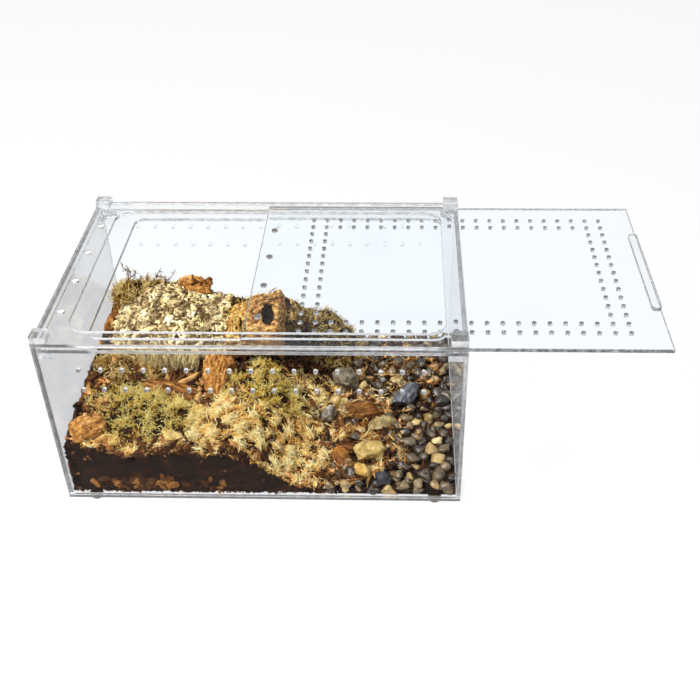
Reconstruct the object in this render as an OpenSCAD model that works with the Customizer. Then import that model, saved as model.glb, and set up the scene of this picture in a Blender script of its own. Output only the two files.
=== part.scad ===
// Planted reptile terrarium: a clear acrylic case with a vented lid that slides out to the right
// between two frames, standing on four feet, with a bank of soil, gravel, moss, cork and stones.
// The origin is on the ground under the middle of the part, lid included; +Z is up, -Y the front.

/* [Case] */
// Outside length of the case, left to right
case_l = 300; // [280:5:360]
// Outside depth of the case, front to back
case_w = 200; // [190:5:240]
// Height from the underside of the base to the top of the upper frame
case_h = 147; // [142:1:180]
// Thickness of the acrylic sheet of the case and the lid
sheet_t = 3; // [2.5:0.5:4]

/* [Frames] */
// Width of both frames' front and back borders
border_w = 16; // [14:1:20]
// Width of both frames' right border
border_right = 14.5; // [12:0.5:18]
// Width of the upper frame's left border
upper_left = 20; // [18:1:26]
// Width of the lower frame's left border, which carries the end of the lid
lower_left = 34; // [28:1:40]
// Corner radius of the upper frame's window
upper_r = 14; // [6:1:18]
// Corner radius of the lower frame's window
lower_r = 9; // [4:1:14]
// Leg of the triangular gussets under the lower frame
gusset_leg = 11; // [8:1:14]
// Height of the gussets
gusset_h = 5; // [3:1:8]

/* [Wall vents] */
// Diameter of every vent hole
vent_d = 3.2; // [2.5:0.1:4]
// Distance between the holes of a wall row
wall_pitch = 15; // [12:1:20]
// Distance from the end of a wall to its first hole
wall_margin = 30; // [24:1:40]
// Distance between the two rows
row_gap = 17.5; // [12:0.5:22]
// Distance from the top of the case to the upper row
row_drop = 23; // [20:0.5:28]

/* [Lid] */
// How far the lid stands open in the resting pose
lid_open = 132; // [20:1:170]
// How far in from the case's left face the closed lid ends
lid_tuck = 11.3; // [9:0.1:17]
// Gap between the lid and each face of its slot
lid_play = 0.3; // [0.2:0.05:0.4]
// Distance between the lid's vent holes, both ways
lid_pitch = 11; // [9:0.5:14]
// Distance from the lid's left end to its first vent column
vent_left = 39; // [34:1:46]
// Distance from the lid's right end to its last vent column
vent_right = 26; // [20:1:34]
// Least distance from the lid's long edges to a vent row
vent_side = 19.5; // [14:0.5:26]
// Rings of vent holes round the middle of the lid
vent_rings = 2; // [1:1:3]

/* [Handle] */
// Length of the pull strip
handle_l = 103; // [60:1:140]
// Width of the pull strip
handle_w = 7; // [5:0.5:10]

/* [Magnets] */
// Diameter of the catch magnets
magnet_d = 5; // [3:0.5:6]
// Thickness of the catch magnets
magnet_t = 2; // [1:0.5:2]
// Distance between neighbouring magnets
magnet_pitch = 40; // [25:1:45]
// Distance from the lid's left end to its magnets
lid_magnet_in = 8.4; // [6:0.1:12]
// Distance from the case's left face to the frame's magnets
frame_magnet_in = 11.2; // [8:0.1:14]

/* [Corner blocks and feet] */
// Side of the square stacking blocks
block_w = 12; // [8:0.5:16]
// Height of the stacking blocks
block_h = 5; // [3:0.5:8]
// Corner radius of the stacking blocks
block_r = 1.5; // [0.5:0.5:3]
// Diameter of the feet where they meet the base
foot_d = 10; // [8:0.5:14]
// Height of the feet
foot_h = 4; // [2:0.5:8]
// Distance from the ends of the case to the middle of a foot
foot_in_x = 19.5; // [12:0.5:40]
// Distance from the front and back of the case to the middle of a foot
foot_in_y = 7; // [7:0.5:20]

/* [Soil and gravel] */
// Depth of the soil at the front of its level top
soil_deep = 40; // [30:1:50]
// Rise of the soil towards the back wall
back_rise = 10; // [0:1:14]
// Rise of the soil towards the left wall
left_rise = 7; // [0:1:10]
// Width of the rise along the left wall
left_run = 48; // [30:1:70]
// Depth of the gravel under its top stones
gravel_deep = 7; // [4:1:12]
// Distance from the case's left face to the top of the bank, at the front
bank_start = 126; // [118:1:140]
// Length of the bank's fall
bank_run = 58; // [50:1:70]
// How much further right the bank lies at the back
bank_skew = 22; // [10:1:30]
// Height of the waves in the soil's top
soil_wave = 1.5; // [0:0.5:2]
// Gap between the filling and the walls
fill_gap = 0.4; // [0.3:0.1:1]
// Distance between neighbouring gravel stones
pebble_pitch = 13; // [11:0.5:16]
// Length of a gravel stone
pebble_l = 12.5; // [9:0.5:16]

/* [Cork and wood] */
// Length of the arched cork hide
hide_l = 96; // [70:1:100]
// Width of the hide across its arch
hide_w = 76; // [60:1:80]
// Height of the hide over the soil
hide_h = 46; // [36:1:52]
// Thickness of the hide's bark
hide_t = 7; // [5:0.5:9]
// Length of the hollow log
log_l = 45; // [34:1:48]
// Radius of the hollow log
log_r = 24; // [18:1:26]
// Radius of the log's bore
log_bore = 13; // [8:1:15]
// Diameter of the knot hole in the log
knot_d = 11; // [6:1:14]
// Distance from the case's left face to the hide
hide_in = 17; // [14:1:22]
// Distance from the case's back face to the middle of the hide's arch
hide_back = 62; // [60:1:66]
// How far the crown of the arch leans towards the back
hide_lean = 7; // [0:1:9]
// Gap between the hide and the log
log_gap = 1.5; // [1:0.5:4]
// How much further forward than the hide the log lies
log_ahead = 10; // [6:1:12]
// Length, width and height of the orange bark slab
slab_size = [40, 27, 9]; // [6:1:44]
// Length, width and height of the knot of wood on the hide
knot_size = [31, 22, 15]; // [10:1:36]
// Length, width and height of the bark chunk in the front corner
chunk_size = [28, 24, 17]; // [10:1:32]
// Length, width and height of the bark lump beside the hide
lump_size = [28, 11, 17]; // [8:1:32]
// Length, width and height of the bark flake on the moss
flake_size = [48, 16, 8]; // [6:1:52]
// Length, width and height of the wood block on the gravel
wood_size = [28, 20, 16]; // [10:1:32]
// Diameter of the sawn twig slice
slice_d = 13; // [8:1:15]
// Thickness of the sawn twig slice
slice_t = 6; // [4:0.5:8]

/* [Stones] */
// Length, width and height of the grey stone at the bank's foot
stone_back_size = [26, 21, 20]; // [10:1:30]
// Length, width and height of the grey stone in the straw
stone_mid_size = [19, 14, 14]; // [8:1:22]
// Length, width and height of the tilted grey stone
stone_wedge_size = [34, 17, 18]; // [10:1:38]
// Length, width and height of the flat olive stone
stone_flat_size = [30, 16, 11]; // [8:1:34]
// Length, width and height of the large olive stone in front
stone_front_size = [31, 22, 16]; // [10:1:34]
// Length, width and height of the amber stone
stone_amber_size = [17, 13, 12]; // [8:1:20]
// Length, width and height of the black stone
stone_dark_size = [15, 12, 12]; // [8:1:18]

/* [Moss and straw] */
// Half length, half depth and height of the front cushion
front_cushion = [43, 33, 9]; // [5:1:46]
// Half length, half depth and height of the cushion beside the hide
side_cushion = [27, 15, 7]; // [4:1:30]
// Half length, half depth and height of the cushion in the back corner
corner_cushion = [24, 17, 20]; // [8:1:26]
// Half length, half depth and height of the cushion on the bank
centre_cushion = [29, 26, 8]; // [4:1:32]
// Half length, half depth and height of the heap at the back wall
back_cushion = [36, 29, 33]; // [8:1:38]
// Half length, half depth and height of the straw on the bank
straw_blanket = [53, 35, 5]; // [3:1:56]
// Length of the tallest sprig
sprig_l = 40; // [30:1:44]
// Thickness of a sprig's stem
sprig_d = 1.6; // [1:0.2:2.4]

/* [Hidden] */

$fn = 48;
eps = 0.01;

// Colours of the finishes
acrylic = [0.86, 0.94, 0.97, 0.4];
acrylic_edge = [0.75, 0.86, 0.9, 0.6];
magnet_steel = [0.55, 0.54, 0.52];
clear_rubber = [0.82, 0.78, 0.72, 0.8];
soil_brown = [0.17, 0.11, 0.08];
gravel_grey = [0.42, 0.39, 0.33];
lichen_cream = [0.83, 0.78, 0.6];
cork_orange = [0.66, 0.42, 0.2];
bark_brown = [0.45, 0.25, 0.13];
moss_olive = [0.5, 0.47, 0.16];
straw = [0.88, 0.74, 0.42];
stone_grey = [0.5, 0.49, 0.46];
stone_olive = [0.62, 0.58, 0.42];
stone_black = [0.15, 0.15, 0.15];

// Lid, its slot and its place
lid_l = case_l + lid_play - lid_tuck + handle_w;
lid_w = case_w - 2 * sheet_t - 2 * lid_play;
slot_h = sheet_t + 2 * lid_play;
lid_x = lid_tuck + lid_open;
lid_reach = max(0, lid_x + lid_l - case_l);

// The case's left, front, underside corner in the part's frame, and the levels above it
case_x = -(case_l + lid_reach) / 2;
case_y = -case_w / 2;
upper_z = case_h - sheet_t;
lower_z = upper_z - slot_h - sheet_t;
lid_z = lower_z + sheet_t + lid_play;
magnet_drop = 0.5;

// Counts that follow from the sizes
wall_vents = floor((case_l - 2 * wall_margin) / wall_pitch + eps) + 1;
lid_cols = floor((lid_l - vent_left - vent_right) / lid_pitch + eps) + 1;
lid_rows = floor((lid_w - 2 * vent_side) / lid_pitch + eps) + 1;
magnets = 4;

// The filled space inside the walls
fill_x0 = sheet_t + fill_gap;
fill_x1 = case_l - sheet_t - fill_gap;
fill_y0 = sheet_t + fill_gap;
fill_y1 = case_w - sheet_t - fill_gap;
bank_foot = bank_start + bank_run + bank_skew;

// ---------- Shared shapes ----------

// Moves from the part's frame to the case's left, front, underside corner
module in_case() {
    translate([case_x, case_y, foot_h]) children();
}

// A rectangle with true round corners
module round_rect(l, w, r) {
    translate([r, 0]) square([l - 2 * r, w]);
    translate([0, r]) square([l, w - 2 * r]);
    for (x = [r, l - r], y = [r, w - r]) translate([x, y]) circle(r);
}

// Two rows of vent holes through a long wall, along +Y
module wall_vent_holes() {
    for (i = [0 : wall_vents - 1], row = [0 : 1])
        translate([wall_margin + i * wall_pitch, -eps, case_h - row_drop - row * row_gap])
            rotate([-90, 0, 0]) cylinder(d = vent_d, h = sheet_t + 2 * eps);
}

// A row of magnets, or of the holes that take them, centred on the case's depth
module magnet_row(d, h) {
    for (i = [0 : magnets - 1])
        translate([0, (i - (magnets - 1) / 2) * magnet_pitch, 0]) cylinder(d = d, h = h);
}

// ---------- Case ----------

module base_panel() color(acrylic) in_case() cube([case_l, case_w, sheet_t]);

module long_wall() {
    difference() {
        translate([0, 0, sheet_t]) cube([case_l, sheet_t, upper_z - sheet_t]);
        wall_vent_holes();
    }
}

module front_wall() color(acrylic) in_case() long_wall();

module back_wall() color(acrylic) in_case() translate([0, case_w - sheet_t, 0]) long_wall();

module end_wall(h) cube([sheet_t, case_w - 2 * sheet_t, h]);

module left_wall() color(acrylic) in_case()
    translate([0, sheet_t, sheet_t]) end_wall(upper_z - sheet_t);

// The right wall stops under the lower frame, so that the lid can pass over it
module right_wall() color(acrylic) in_case()
    translate([case_l - sheet_t, sheet_t, sheet_t]) end_wall(lower_z - sheet_t);

// A sheet with a round-cornered window; margins are measured from the case's faces
module frame_sheet(x0, y0, left, r) {
    linear_extrude(sheet_t) difference() {
        translate([x0, y0]) square([case_l - x0, case_w - 2 * y0]);
        translate([left, border_w])
            round_rect(case_l - left - border_right, case_w - 2 * border_w, r);
    }
}

module lower_frame() color(acrylic) in_case()
    translate([0, 0, lower_z]) frame_sheet(sheet_t, sheet_t, lower_left, lower_r);

module upper_frame() color(acrylic) in_case() difference() {
    translate([0, 0, upper_z]) frame_sheet(0, 0, upper_left, upper_r);
    translate([frame_magnet_in, case_w / 2, upper_z - eps])
        magnet_row(magnet_d, sheet_t + 2 * eps);
}

// A triangular gusset in the corner at the origin, legs along +X and +Y
module gusset() linear_extrude(gusset_h) polygon([[0, 0], [gusset_leg, 0], [0, gusset_leg]]);

// Puts a corner piece in one of the case's four corners, inset from its faces
module at_corner(right, back, inset, z) {
    in_case() translate([right ? case_l - inset : inset, back ? case_w - inset : inset, z])
        mirror([right, 0, 0]) mirror([0, back, 0]) children();
}

module gusset_at(right, back) color(acrylic_edge)
    at_corner(right, back, sheet_t, lower_z - gusset_h) gusset();

module gusset_front_left() gusset_at(0, 0);
module gusset_front_right() gusset_at(1, 0);
module gusset_back_left() gusset_at(0, 1);
module gusset_back_right() gusset_at(1, 1);

module block_at(right, back) color(acrylic_edge)
    at_corner(right, back, 0, case_h) linear_extrude(block_h) round_rect(block_w, block_w, block_r);

module block_front_left() block_at(0, 0);
module block_front_right() block_at(1, 0);
module block_back_left() block_at(0, 1);
module block_back_right() block_at(1, 1);

// A clear bumper foot, a little narrower where it stands
module foot_at(right, back) color(clear_rubber) at_corner(right, back, 0, -foot_h)
    translate([foot_in_x, foot_in_y, 0]) cylinder(d1 = foot_d - 1, d2 = foot_d, h = foot_h);

module foot_front_left() foot_at(0, 0);
module foot_front_right() foot_at(1, 0);
module foot_back_left() foot_at(0, 1);
module foot_back_right() foot_at(1, 1);

module frame_magnets() color(magnet_steel) in_case()
    translate([frame_magnet_in, case_w / 2, upper_z + sheet_t - magnet_drop - magnet_t])
        magnet_row(magnet_d, magnet_t);

// ---------- Lid ----------

module in_lid() in_case() translate([lid_x, sheet_t + lid_play, lid_z]) children();

// Rings of vent holes round the lid's plain middle
module lid_vent_holes() {
    y0 = (lid_w - (lid_rows - 1) * lid_pitch) / 2;
    x0 = lid_l - vent_right - (lid_cols - 1) * lid_pitch;
    for (i = [0 : lid_cols - 1], j = [0 : lid_rows - 1])
        if (min(i, lid_cols - 1 - i, j, lid_rows - 1 - j) < vent_rings)
            translate([x0 + i * lid_pitch, y0 + j * lid_pitch, -eps])
                cylinder(d = vent_d, h = sheet_t + 2 * eps, $fn = 24);
}

module lid() color(acrylic) in_lid() difference() {
    cube([lid_l, lid_w, sheet_t]);
    lid_vent_holes();
    translate([lid_magnet_in, lid_w / 2, sheet_t - magnet_t]) magnet_row(magnet_d, magnet_t + eps);
}

module lid_magnets() color(magnet_steel) in_lid()
    translate([lid_magnet_in, lid_w / 2, sheet_t - magnet_t]) magnet_row(magnet_d, magnet_t);

// The pull strip is flush with the lid's right end, with round ends
module lid_handle() color(acrylic_edge) in_lid()
    translate([lid_l - handle_w, (lid_w - handle_l) / 2, sheet_t])
        linear_extrude(sheet_t) round_rect(handle_w, handle_l, handle_w / 2 - eps);

// ---------- Ground ----------

function smooth(t) = t <= 0 ? 0 : t >= 1 ? 1 : t * t * (3 - 2 * t);

// Height of the bare ground above the case's underside, at x, y from the case's corner
function ground(x, y) =
    let(top = soil_deep + back_rise * y / case_w)
    let(fall = smooth((x - bank_start - bank_skew * y / case_w) / bank_run))
    let(side = left_rise * (1 - smooth((x - sheet_t) / left_run)))
    let(wave = soil_wave * sin(x * 5) * cos(y * 4))
    sheet_t + gravel_deep + (top - gravel_deep + side + wave) * (1 - fall);

// A closed solid between z_low and a height function sampled on a grid
module ground_block(x0, x1, y0, y1, nx, ny, z_low) {
    xs = [for (i = [0 : nx]) x0 + (x1 - x0) * i / nx];
    ys = [for (j = [0 : ny]) y0 + (y1 - y0) * j / ny];
    row = ny + 1;
    n = (nx + 1) * row;
    top = [for (x = xs, y = ys) [x, y, ground(x, y)]];
    low = [for (x = xs, y = ys) [x, y, z_low]];
    faces = [
        for (i = [0 : nx - 1], j = [0 : ny - 1]) let(a = i * row + j)
            each [[a, a + 1, a + row + 1], [a, a + row + 1, a + row]],
        for (i = [0 : nx - 1]) let(a = i * row, b = a + ny)
            each [[a, a + row, n + a + row, n + a], [b + row, b, n + b, n + b + row]],
        for (j = [0 : ny - 1]) let(a = j, b = nx * row + j)
            each [[a + 1, a, n + a, n + a + 1], [b, b + 1, n + b + 1, n + b]],
        [for (i = [0 : nx]) n + i * row, for (j = [1 : ny]) n + nx * row + j,
            for (i = [nx - 1 : -1 : 0]) n + i * row + ny, for (j = [ny - 1 : -1 : 1]) n + j]
    ];
    polyhedron(concat(top, low), faces, 10);
}

module soil_block() ground_block(fill_x0, bank_foot, fill_y0, fill_y1, 20, 16, sheet_t);

// The level layer of gravel, from the bank's foot or a gap beyond it to the right wall
module gravel_layer(gap) translate([bank_foot + gap, fill_y0, sheet_t])
    cube([fill_x1 - bank_foot - gap, fill_y1 - fill_y0, gravel_deep]);

// The ground that everything grows and lies on
module bare_ground() {
    soil_block();
    gravel_layer(0);
}

// ---------- Loose forms ----------

// A closed loft through rings of as many points each
module loft(rings) {
    m = len(rings[0]);
    last = (len(rings) - 1) * m;
    polyhedron([for (ring = rings) each ring], [
        [for (k = [m - 1 : -1 : 0]) k],
        for (i = [0 : len(rings) - 2], k = [0 : m - 1])
            let(a = i * m + k, b = i * m + (k + 1) % m)
            each [[a, b + m, a + m], [a, b, b + m]],
        [for (k = [0 : m - 1]) last + k]
    ], 10);
}

// A worn stone: two coarse balls of different sizes in one skin
module stone(size, seed) {
    l = size[0];
    w = size[1];
    h = size[2];
    r = rands(0.7, 1, 5, seed);
    hull() {
        translate([-l * 0.12 * r[0], w * 0.06 * r[1], 0])
            scale([l * 0.38 / w, 0.46, h * 0.5 / w * r[2]]) rotate(40 * r[3]) sphere(w, $fn = 10);
        translate([l * 0.16 * r[3], -w * 0.07 * r[4], h * 0.04])
            scale([l * 0.34 / w, 0.38, h * 0.5 / w]) rotate(70 * r[0]) sphere(w, $fn = 9);
    }
}

// A split piece of bark or wood: a slab with skewed ends, thinner to one side
module chip(size, seed) {
    l = size[0];
    w = size[1];
    h = size[2];
    r = rands(0.7, 1, 8, seed);
    hull() {
        for (i = [0 : 3])
            translate([(i % 2 - 0.5) * 0.7 * l * r[i], (floor(i / 2) - 0.5) * 0.66 * w * r[i + 1], 0])
                scale([0.15 * l, 0.17 * w, 0.32 * h * r[i + 2]]) sphere(1, $fn = 8);
        translate([0, 0, h * 0.2]) scale([0.32 * l, 0.3 * w, 0.3 * h]) sphere(1, $fn = 8);
    }
}

// Lays a piece on the ground at x, y, turned, tilted and sunk by part of its height
module lay(x, y, turn, tilt, lift) {
    translate([x, y, ground(x, y) + lift]) rotate([0, tilt, turn]) children();
}

// A low mound of moss from below the ground up to its crown; edges wander with the seed
module mound(x, y, size, seed) {
    rx = size[0];
    ry = size[1];
    h = size[2];
    around = 22;
    steps = 5;
    function edge(a) = 1 + 0.1 * sin(3 * a + seed * 50) + 0.07 * sin(5 * a + seed * 90);
    function crown(a, t) = h * (1 - t * t) * (1 + 0.3 * t * sin(4 * a + 200 * t));
    function px(a, t) = max(fill_x0, min(fill_x1, x + rx * t * edge(a) * cos(a)));
    function py(a, t) = max(fill_y0, min(fill_y1, y + ry * t * edge(a) * sin(a)));
    function pz(a, t) = ground(px(a, t), py(a, t)) + crown(a, t);
    function turn(k) = k * 360 / around;
    rings = [for (s = [steps : -1 : 1]) [for (k = [0 : around - 1]) let(a = turn(k), t = s / steps)
        [px(a, t), py(a, t), pz(a, t)]]];
    skirt = [for (k = [0 : around - 1]) let(a = turn(k)) [px(a, 1), py(a, 1), sheet_t + 1]];
    n = steps * around;
    polyhedron(concat([for (ring = rings) each ring], [[x, y, ground(x, y) + h]], skirt), [
        for (s = [0 : steps - 2], k = [0 : around - 1])
            let(a = s * around + k, b = s * around + (k + 1) % around)
            each [[a, a + around, b + around], [a, b + around, b]],
        for (k = [0 : around - 1])
            [(steps - 1) * around + k, n, (steps - 1) * around + (k + 1) % around],
        for (k = [0 : around - 1]) let(k2 = (k + 1) % around)
            each [[k, k2, n + 1 + k2], [k, n + 1 + k2, n + 1 + k]],
        [for (k = [0 : around - 1]) n + 1 + k]
    ], 10);
}

// ---------- Cork and wood ----------

hide_x = hide_in + hide_l / 2;
hide_y = case_w - hide_back;
hide_z = ground(hide_x, hide_y);

// The hide's girth at s from 0 to 1 along it, as a share of its full girth
function hide_girth(s) = 0.74 + 0.26 * sin(180 * min(1, s * 1.15));

// One arched section of the hide at s, set in by a wall and closed drop below its feet
function hide_section(s, wall, drop) =
    let(girth = hide_girth(s), steps = 14, foot = 8)
    let(x = hide_x + (s - 0.5) * (hide_l + 2 * drop))
    let(rough = function(a) 1 + 0.035 * sin(a * 7 + s * 500) + 0.03 * sin(a * 11 - s * 800))
    let(arch = [for (k = [0 : steps])
        let(a = (180 + 2 * foot) * k / steps - foot)
        let(w = (hide_w / 2 * rough(a) - wall) * girth, h = (hide_h * rough(a) - wall) * girth)
        [x, hide_y - w * cos(a) + hide_lean * sin(a), hide_z + h * sin(a)]])
    concat(arch, [[x, arch[steps][1], arch[steps][2] - 1 - drop], [x, arch[0][1], arch[0][2] - 1 - drop]]);

// The hide with its hollow filled, or its hollow, which runs past both ends and its feet
module hide_form(wall, drop) loft([for (i = [0 : 12]) hide_section(i / 12, wall, drop)]);

// A slab of lichened cork bark, arched over a hollow that is open at both ends
module cork_hide() color(lichen_cream) in_case() difference() {
    hide_form(0, 0);
    hide_form(hide_t, 1);
}

log_x = hide_x + hide_l / 2 + log_gap;
log_y = hide_y - log_ahead;
log_sunk = 1.5;
log_z = ground(log_x + log_l / 2, log_y) + log_r - log_sunk;

// One closed, fluted outline of the log at s from 0 to 1 along it
function log_section(s, r, n) = [for (k = [0 : n - 1])
    let(a = k * 360 / n, rr = r * (1 + 0.045 * sin(a * 6 + s * 90) + 0.03 * sin(a * 4 - s * 300)))
    [log_x + s * log_l, log_y - rr * cos(a), log_z + rr * sin(a)]];

// A short hollow log with a knot hole in its upper side
module cork_log() color(cork_orange) in_case() difference() {
    loft([for (i = [0 : 6]) log_section(i / 6, log_r, 24)]);
    loft([for (i = [0 : 1]) [for (p = log_section(i, log_bore, 12))
        [p[0] + (i - 0.5) * 2, p[1], p[2]]]]);
    translate([log_x + 0.66 * log_l, log_y, log_z]) rotate([-28, 0, 0])
        cylinder(d = knot_d, h = 2 * log_r, $fn = 12);
}

module bark_slab() color(cork_orange) in_case()
    lay(106, hide_y - 55, 78, -34, 7) chip(slab_size, 3);

// A knot of wood that lies on the crown of the hide
module wood_knot() color(cork_orange) difference() {
    s = 0.69;
    in_case() translate([hide_x + (s - 0.5) * hide_l, hide_y + 9, hide_z + hide_h * hide_girth(s) + 3])
        rotate([8, 0, 20]) chip(knot_size, 8);
    cork_hide();
}

module bark_chunk() color(bark_brown) in_case() lay(18, 20, 30, -6, 5) chip(chunk_size, 12);

module bark_lump() color(bark_brown) in_case() lay(10.5, hide_y + 10, 80, 0, 4) chip(lump_size, 5);

module bark_flake() color(bark_brown) in_case() lay(70, hide_y - 65, -16, 5, 3) chip(flake_size, 21);

module wood_block() color(bark_brown) in_case()
    lay(223, 0.445 * case_w, 28, 12, 5) chip(wood_size, 31);

// A slice sawn from a twig, lying on its side
module twig_slice() color(cork_orange) in_case()
    lay(207, 0.185 * case_w, 20, 0, 3) rotate([62, 0, 0]) cylinder(d = slice_d, h = slice_t, center = true, $fn = 12);

// ---------- Stones ----------
// Each lies at its own share of the case's depth, so that the group spreads with it

module stone_back() color(stone_grey) in_case()
    lay(208, 0.645 * case_w, -15, 6, 7) stone(stone_back_size, 4);
module stone_mid() color(stone_grey) in_case()
    lay(194, 0.415 * case_w, 60, 10, 5) stone(stone_mid_size, 9);
module stone_wedge() color(stone_grey) in_case()
    lay(258, 0.525 * case_w, 52, -14, 6) stone(stone_wedge_size, 15);
module stone_flat() color(stone_olive) in_case()
    lay(238, 0.37 * case_w, 34, 5, 4) stone(stone_flat_size, 18);
module stone_front() color(stone_olive) in_case()
    lay(229, 0.19 * case_w, 24, -4, 5) stone(stone_front_size, 27);
module stone_amber() color(stone_olive) in_case()
    lay(225, 0.09 * case_w, -30, 0, 4) stone(stone_amber_size, 33);
module stone_dark() color(stone_black) in_case()
    lay(241, 0.055 * case_w, -10, 0, 3) stone(stone_dark_size, 36);

// Everything that lies sunk into the soil, the gravel or the moss
module bedded() {
    cork_hide();
    cork_log();
    bark_slab();
    bark_chunk();
    bark_lump();
    bark_flake();
    wood_block();
    twig_slice();
    stone_back();
    stone_mid();
    stone_wedge();
    stone_flat();
    stone_front();
    stone_amber();
    stone_dark();
}

// ---------- Soil, gravel and moss ----------

module soil_bed() color(soil_brown) difference() {
    in_case() soil_block();
    bedded();
}

// Rows of stones in quincunx, each turned and sized by its own place
module pebbles() {
    x0 = bank_foot + fill_gap + pebble_l / 2;
    x1 = fill_x1 - pebble_l / 2;
    y0 = fill_y0 + pebble_l / 2;
    y1 = fill_y1 - pebble_l / 2;
    nx = floor((x1 - x0) / pebble_pitch);
    ny = floor((y1 - y0) / pebble_pitch);
    for (i = [0 : nx], j = [0 : ny]) {
        r = rands(0, 1, 4, 7 + i * 40 + j);
        x = x0 + (x1 - x0) * i / nx + (r[0] - 0.5) * 0.2 * pebble_pitch * (i > 0 && i < nx ? 1 : 0);
        y = y0 + (y1 - y0) * min(1, (j + (i % 2) * 0.45) / ny);
        l = pebble_l * (0.75 + 0.25 * r[1]);
        translate([x, y, sheet_t + gravel_deep]) rotate([30 * r[3], 25 * r[0], 180 * r[2]])
            hull() scale([0.5 * l, 0.42 * l, 0.34 * l]) sphere(1, $fn = 6);
    }
}

module gravel_bed() color(gravel_grey) difference() {
    in_case() union() {
        gravel_layer(fill_gap);
        pebbles();
    }
    bedded();
    moss_back();
    moss_straw();
}

// Growth on the ground, cut to fit everything that lies there
module grown() difference() {
    in_case() difference() {
        children(0);
        bare_ground();
        hide_form(0, 0);
    }
    bedded();
}

corner_y = case_w - 24;

module front_mound() mound(52, 42, front_cushion, 1);
module centre_mound() mound(142, hide_y - 58, centre_cushion, 4);

module moss_front() color(moss_olive) grown() front_mound();
module moss_side() color(moss_olive) grown() difference() {
    mound(34, hide_y - 46, side_cushion, 2);
    front_mound();
}
module moss_corner() color(moss_olive) grown() mound(30, corner_y, corner_cushion, 3);
module moss_centre() color(moss_olive) grown() centre_mound();
module moss_back() color(moss_olive) grown() mound(188, case_w - 28, back_cushion, 5);

// Shredded straw and fibres over the bank, clear of the moss
module moss_straw() color(straw) grown() difference() {
    mound(150, 42, straw_blanket, 6);
    front_mound();
    centre_mound();
}

// ---------- Sprigs ----------

// One bent twig of a dry sprig, from the moss up
module twig(x, y, z, lean, turn, l) {
    d = sprig_d;
    translate([x, y, z]) rotate([0, 0, turn]) rotate([0, lean, 0]) {
        cylinder(d = d, h = l * 0.6, $fn = 6);
        translate([0, 0, l * 0.6 - d / 4]) rotate([0, -1.5 * lean, 0])
            cylinder(d1 = d, d2 = d * 0.6, h = l * 0.4, $fn = 6);
    }
}

// Dry sprigs that stand in the moss of the back left corner
module sprigs() color(bark_brown) difference() {
    crown = ground(30, corner_y) + corner_cushion[2] - 1;
    in_case() {
        twig(20, corner_y, crown - 6, 10, 200, sprig_l);
        twig(21, corner_y, crown - 5, 26, 330, 0.62 * sprig_l);
        twig(44, corner_y + 4, crown - 12, 24, 10, 0.7 * sprig_l);
    }
    moss_corner();
    cork_hide();
}

base_panel();
front_wall();
back_wall();
left_wall();
right_wall();
lower_frame();
upper_frame();
gusset_front_left();
gusset_front_right();
gusset_back_left();
gusset_back_right();
block_front_left();
block_front_right();
block_back_left();
block_back_right();
foot_front_left();
foot_front_right();
foot_back_left();
foot_back_right();
frame_magnets();
lid();
lid_handle();
lid_magnets();
soil_bed();
gravel_bed();
cork_hide();
cork_log();
bark_slab();
wood_knot();
bark_chunk();
bark_lump();
bark_flake();
wood_block();
twig_slice();
stone_back();
stone_mid();
stone_wedge();
stone_flat();
stone_front();
stone_amber();
stone_dark();
moss_front();
moss_side();
moss_corner();
moss_centre();
moss_back();
moss_straw();
sprigs();
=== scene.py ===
"""A planted reptile terrarium: a clear acrylic case with a sliding vented lid and a landscape.

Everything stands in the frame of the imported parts. Vectors are in metres. Numbers that say how long
or how far are in millimetres, unless it says otherwise there, and the numbers of a place in the
case are measured from its left, front, underside corner.
"""
import logging
import math
from collections.abc import Callable, Iterable, Sequence
from dataclasses import dataclass
from enum import Enum
from functools import cache
from itertools import product

import bmesh
import bpy
import numpy as np
from bmesh import ops
from bmesh.types import BMesh, BMVert
from bpy.types import ID, Material, Mesh, Node, NodeSocket, NodeTree, Object
from mathutils import Matrix, Vector, noise
from mathutils.bvhtree import BVHTree


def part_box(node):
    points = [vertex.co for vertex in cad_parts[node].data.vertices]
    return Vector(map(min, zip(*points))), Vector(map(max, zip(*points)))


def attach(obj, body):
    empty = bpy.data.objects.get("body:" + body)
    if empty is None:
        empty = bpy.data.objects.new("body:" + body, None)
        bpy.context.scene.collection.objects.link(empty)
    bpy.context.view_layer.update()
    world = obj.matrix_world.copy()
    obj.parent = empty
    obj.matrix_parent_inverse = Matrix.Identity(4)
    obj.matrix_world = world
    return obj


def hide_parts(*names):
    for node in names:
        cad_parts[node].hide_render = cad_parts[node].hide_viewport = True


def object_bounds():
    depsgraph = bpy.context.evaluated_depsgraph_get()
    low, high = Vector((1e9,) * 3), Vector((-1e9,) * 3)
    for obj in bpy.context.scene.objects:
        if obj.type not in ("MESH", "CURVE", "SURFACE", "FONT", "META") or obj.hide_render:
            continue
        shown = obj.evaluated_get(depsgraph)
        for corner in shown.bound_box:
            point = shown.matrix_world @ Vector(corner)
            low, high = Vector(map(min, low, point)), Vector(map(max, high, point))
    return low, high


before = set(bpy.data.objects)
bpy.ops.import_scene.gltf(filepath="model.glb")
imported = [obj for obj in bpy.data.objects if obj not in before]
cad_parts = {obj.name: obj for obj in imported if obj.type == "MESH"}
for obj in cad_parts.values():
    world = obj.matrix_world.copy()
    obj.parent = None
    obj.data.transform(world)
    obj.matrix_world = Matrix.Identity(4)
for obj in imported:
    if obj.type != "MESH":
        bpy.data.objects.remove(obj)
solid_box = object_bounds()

log = logging.getLogger("terrarium")

Pair = tuple[float, float]
Triple = tuple[float, float, float]
Places = list[tuple[Vector, Vector]]
Oval = tuple[float, float, float, float, int]

MM = 0.001
CASE, LID = "case", "sliding_lid"
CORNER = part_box("base_panel")[0]


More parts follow.
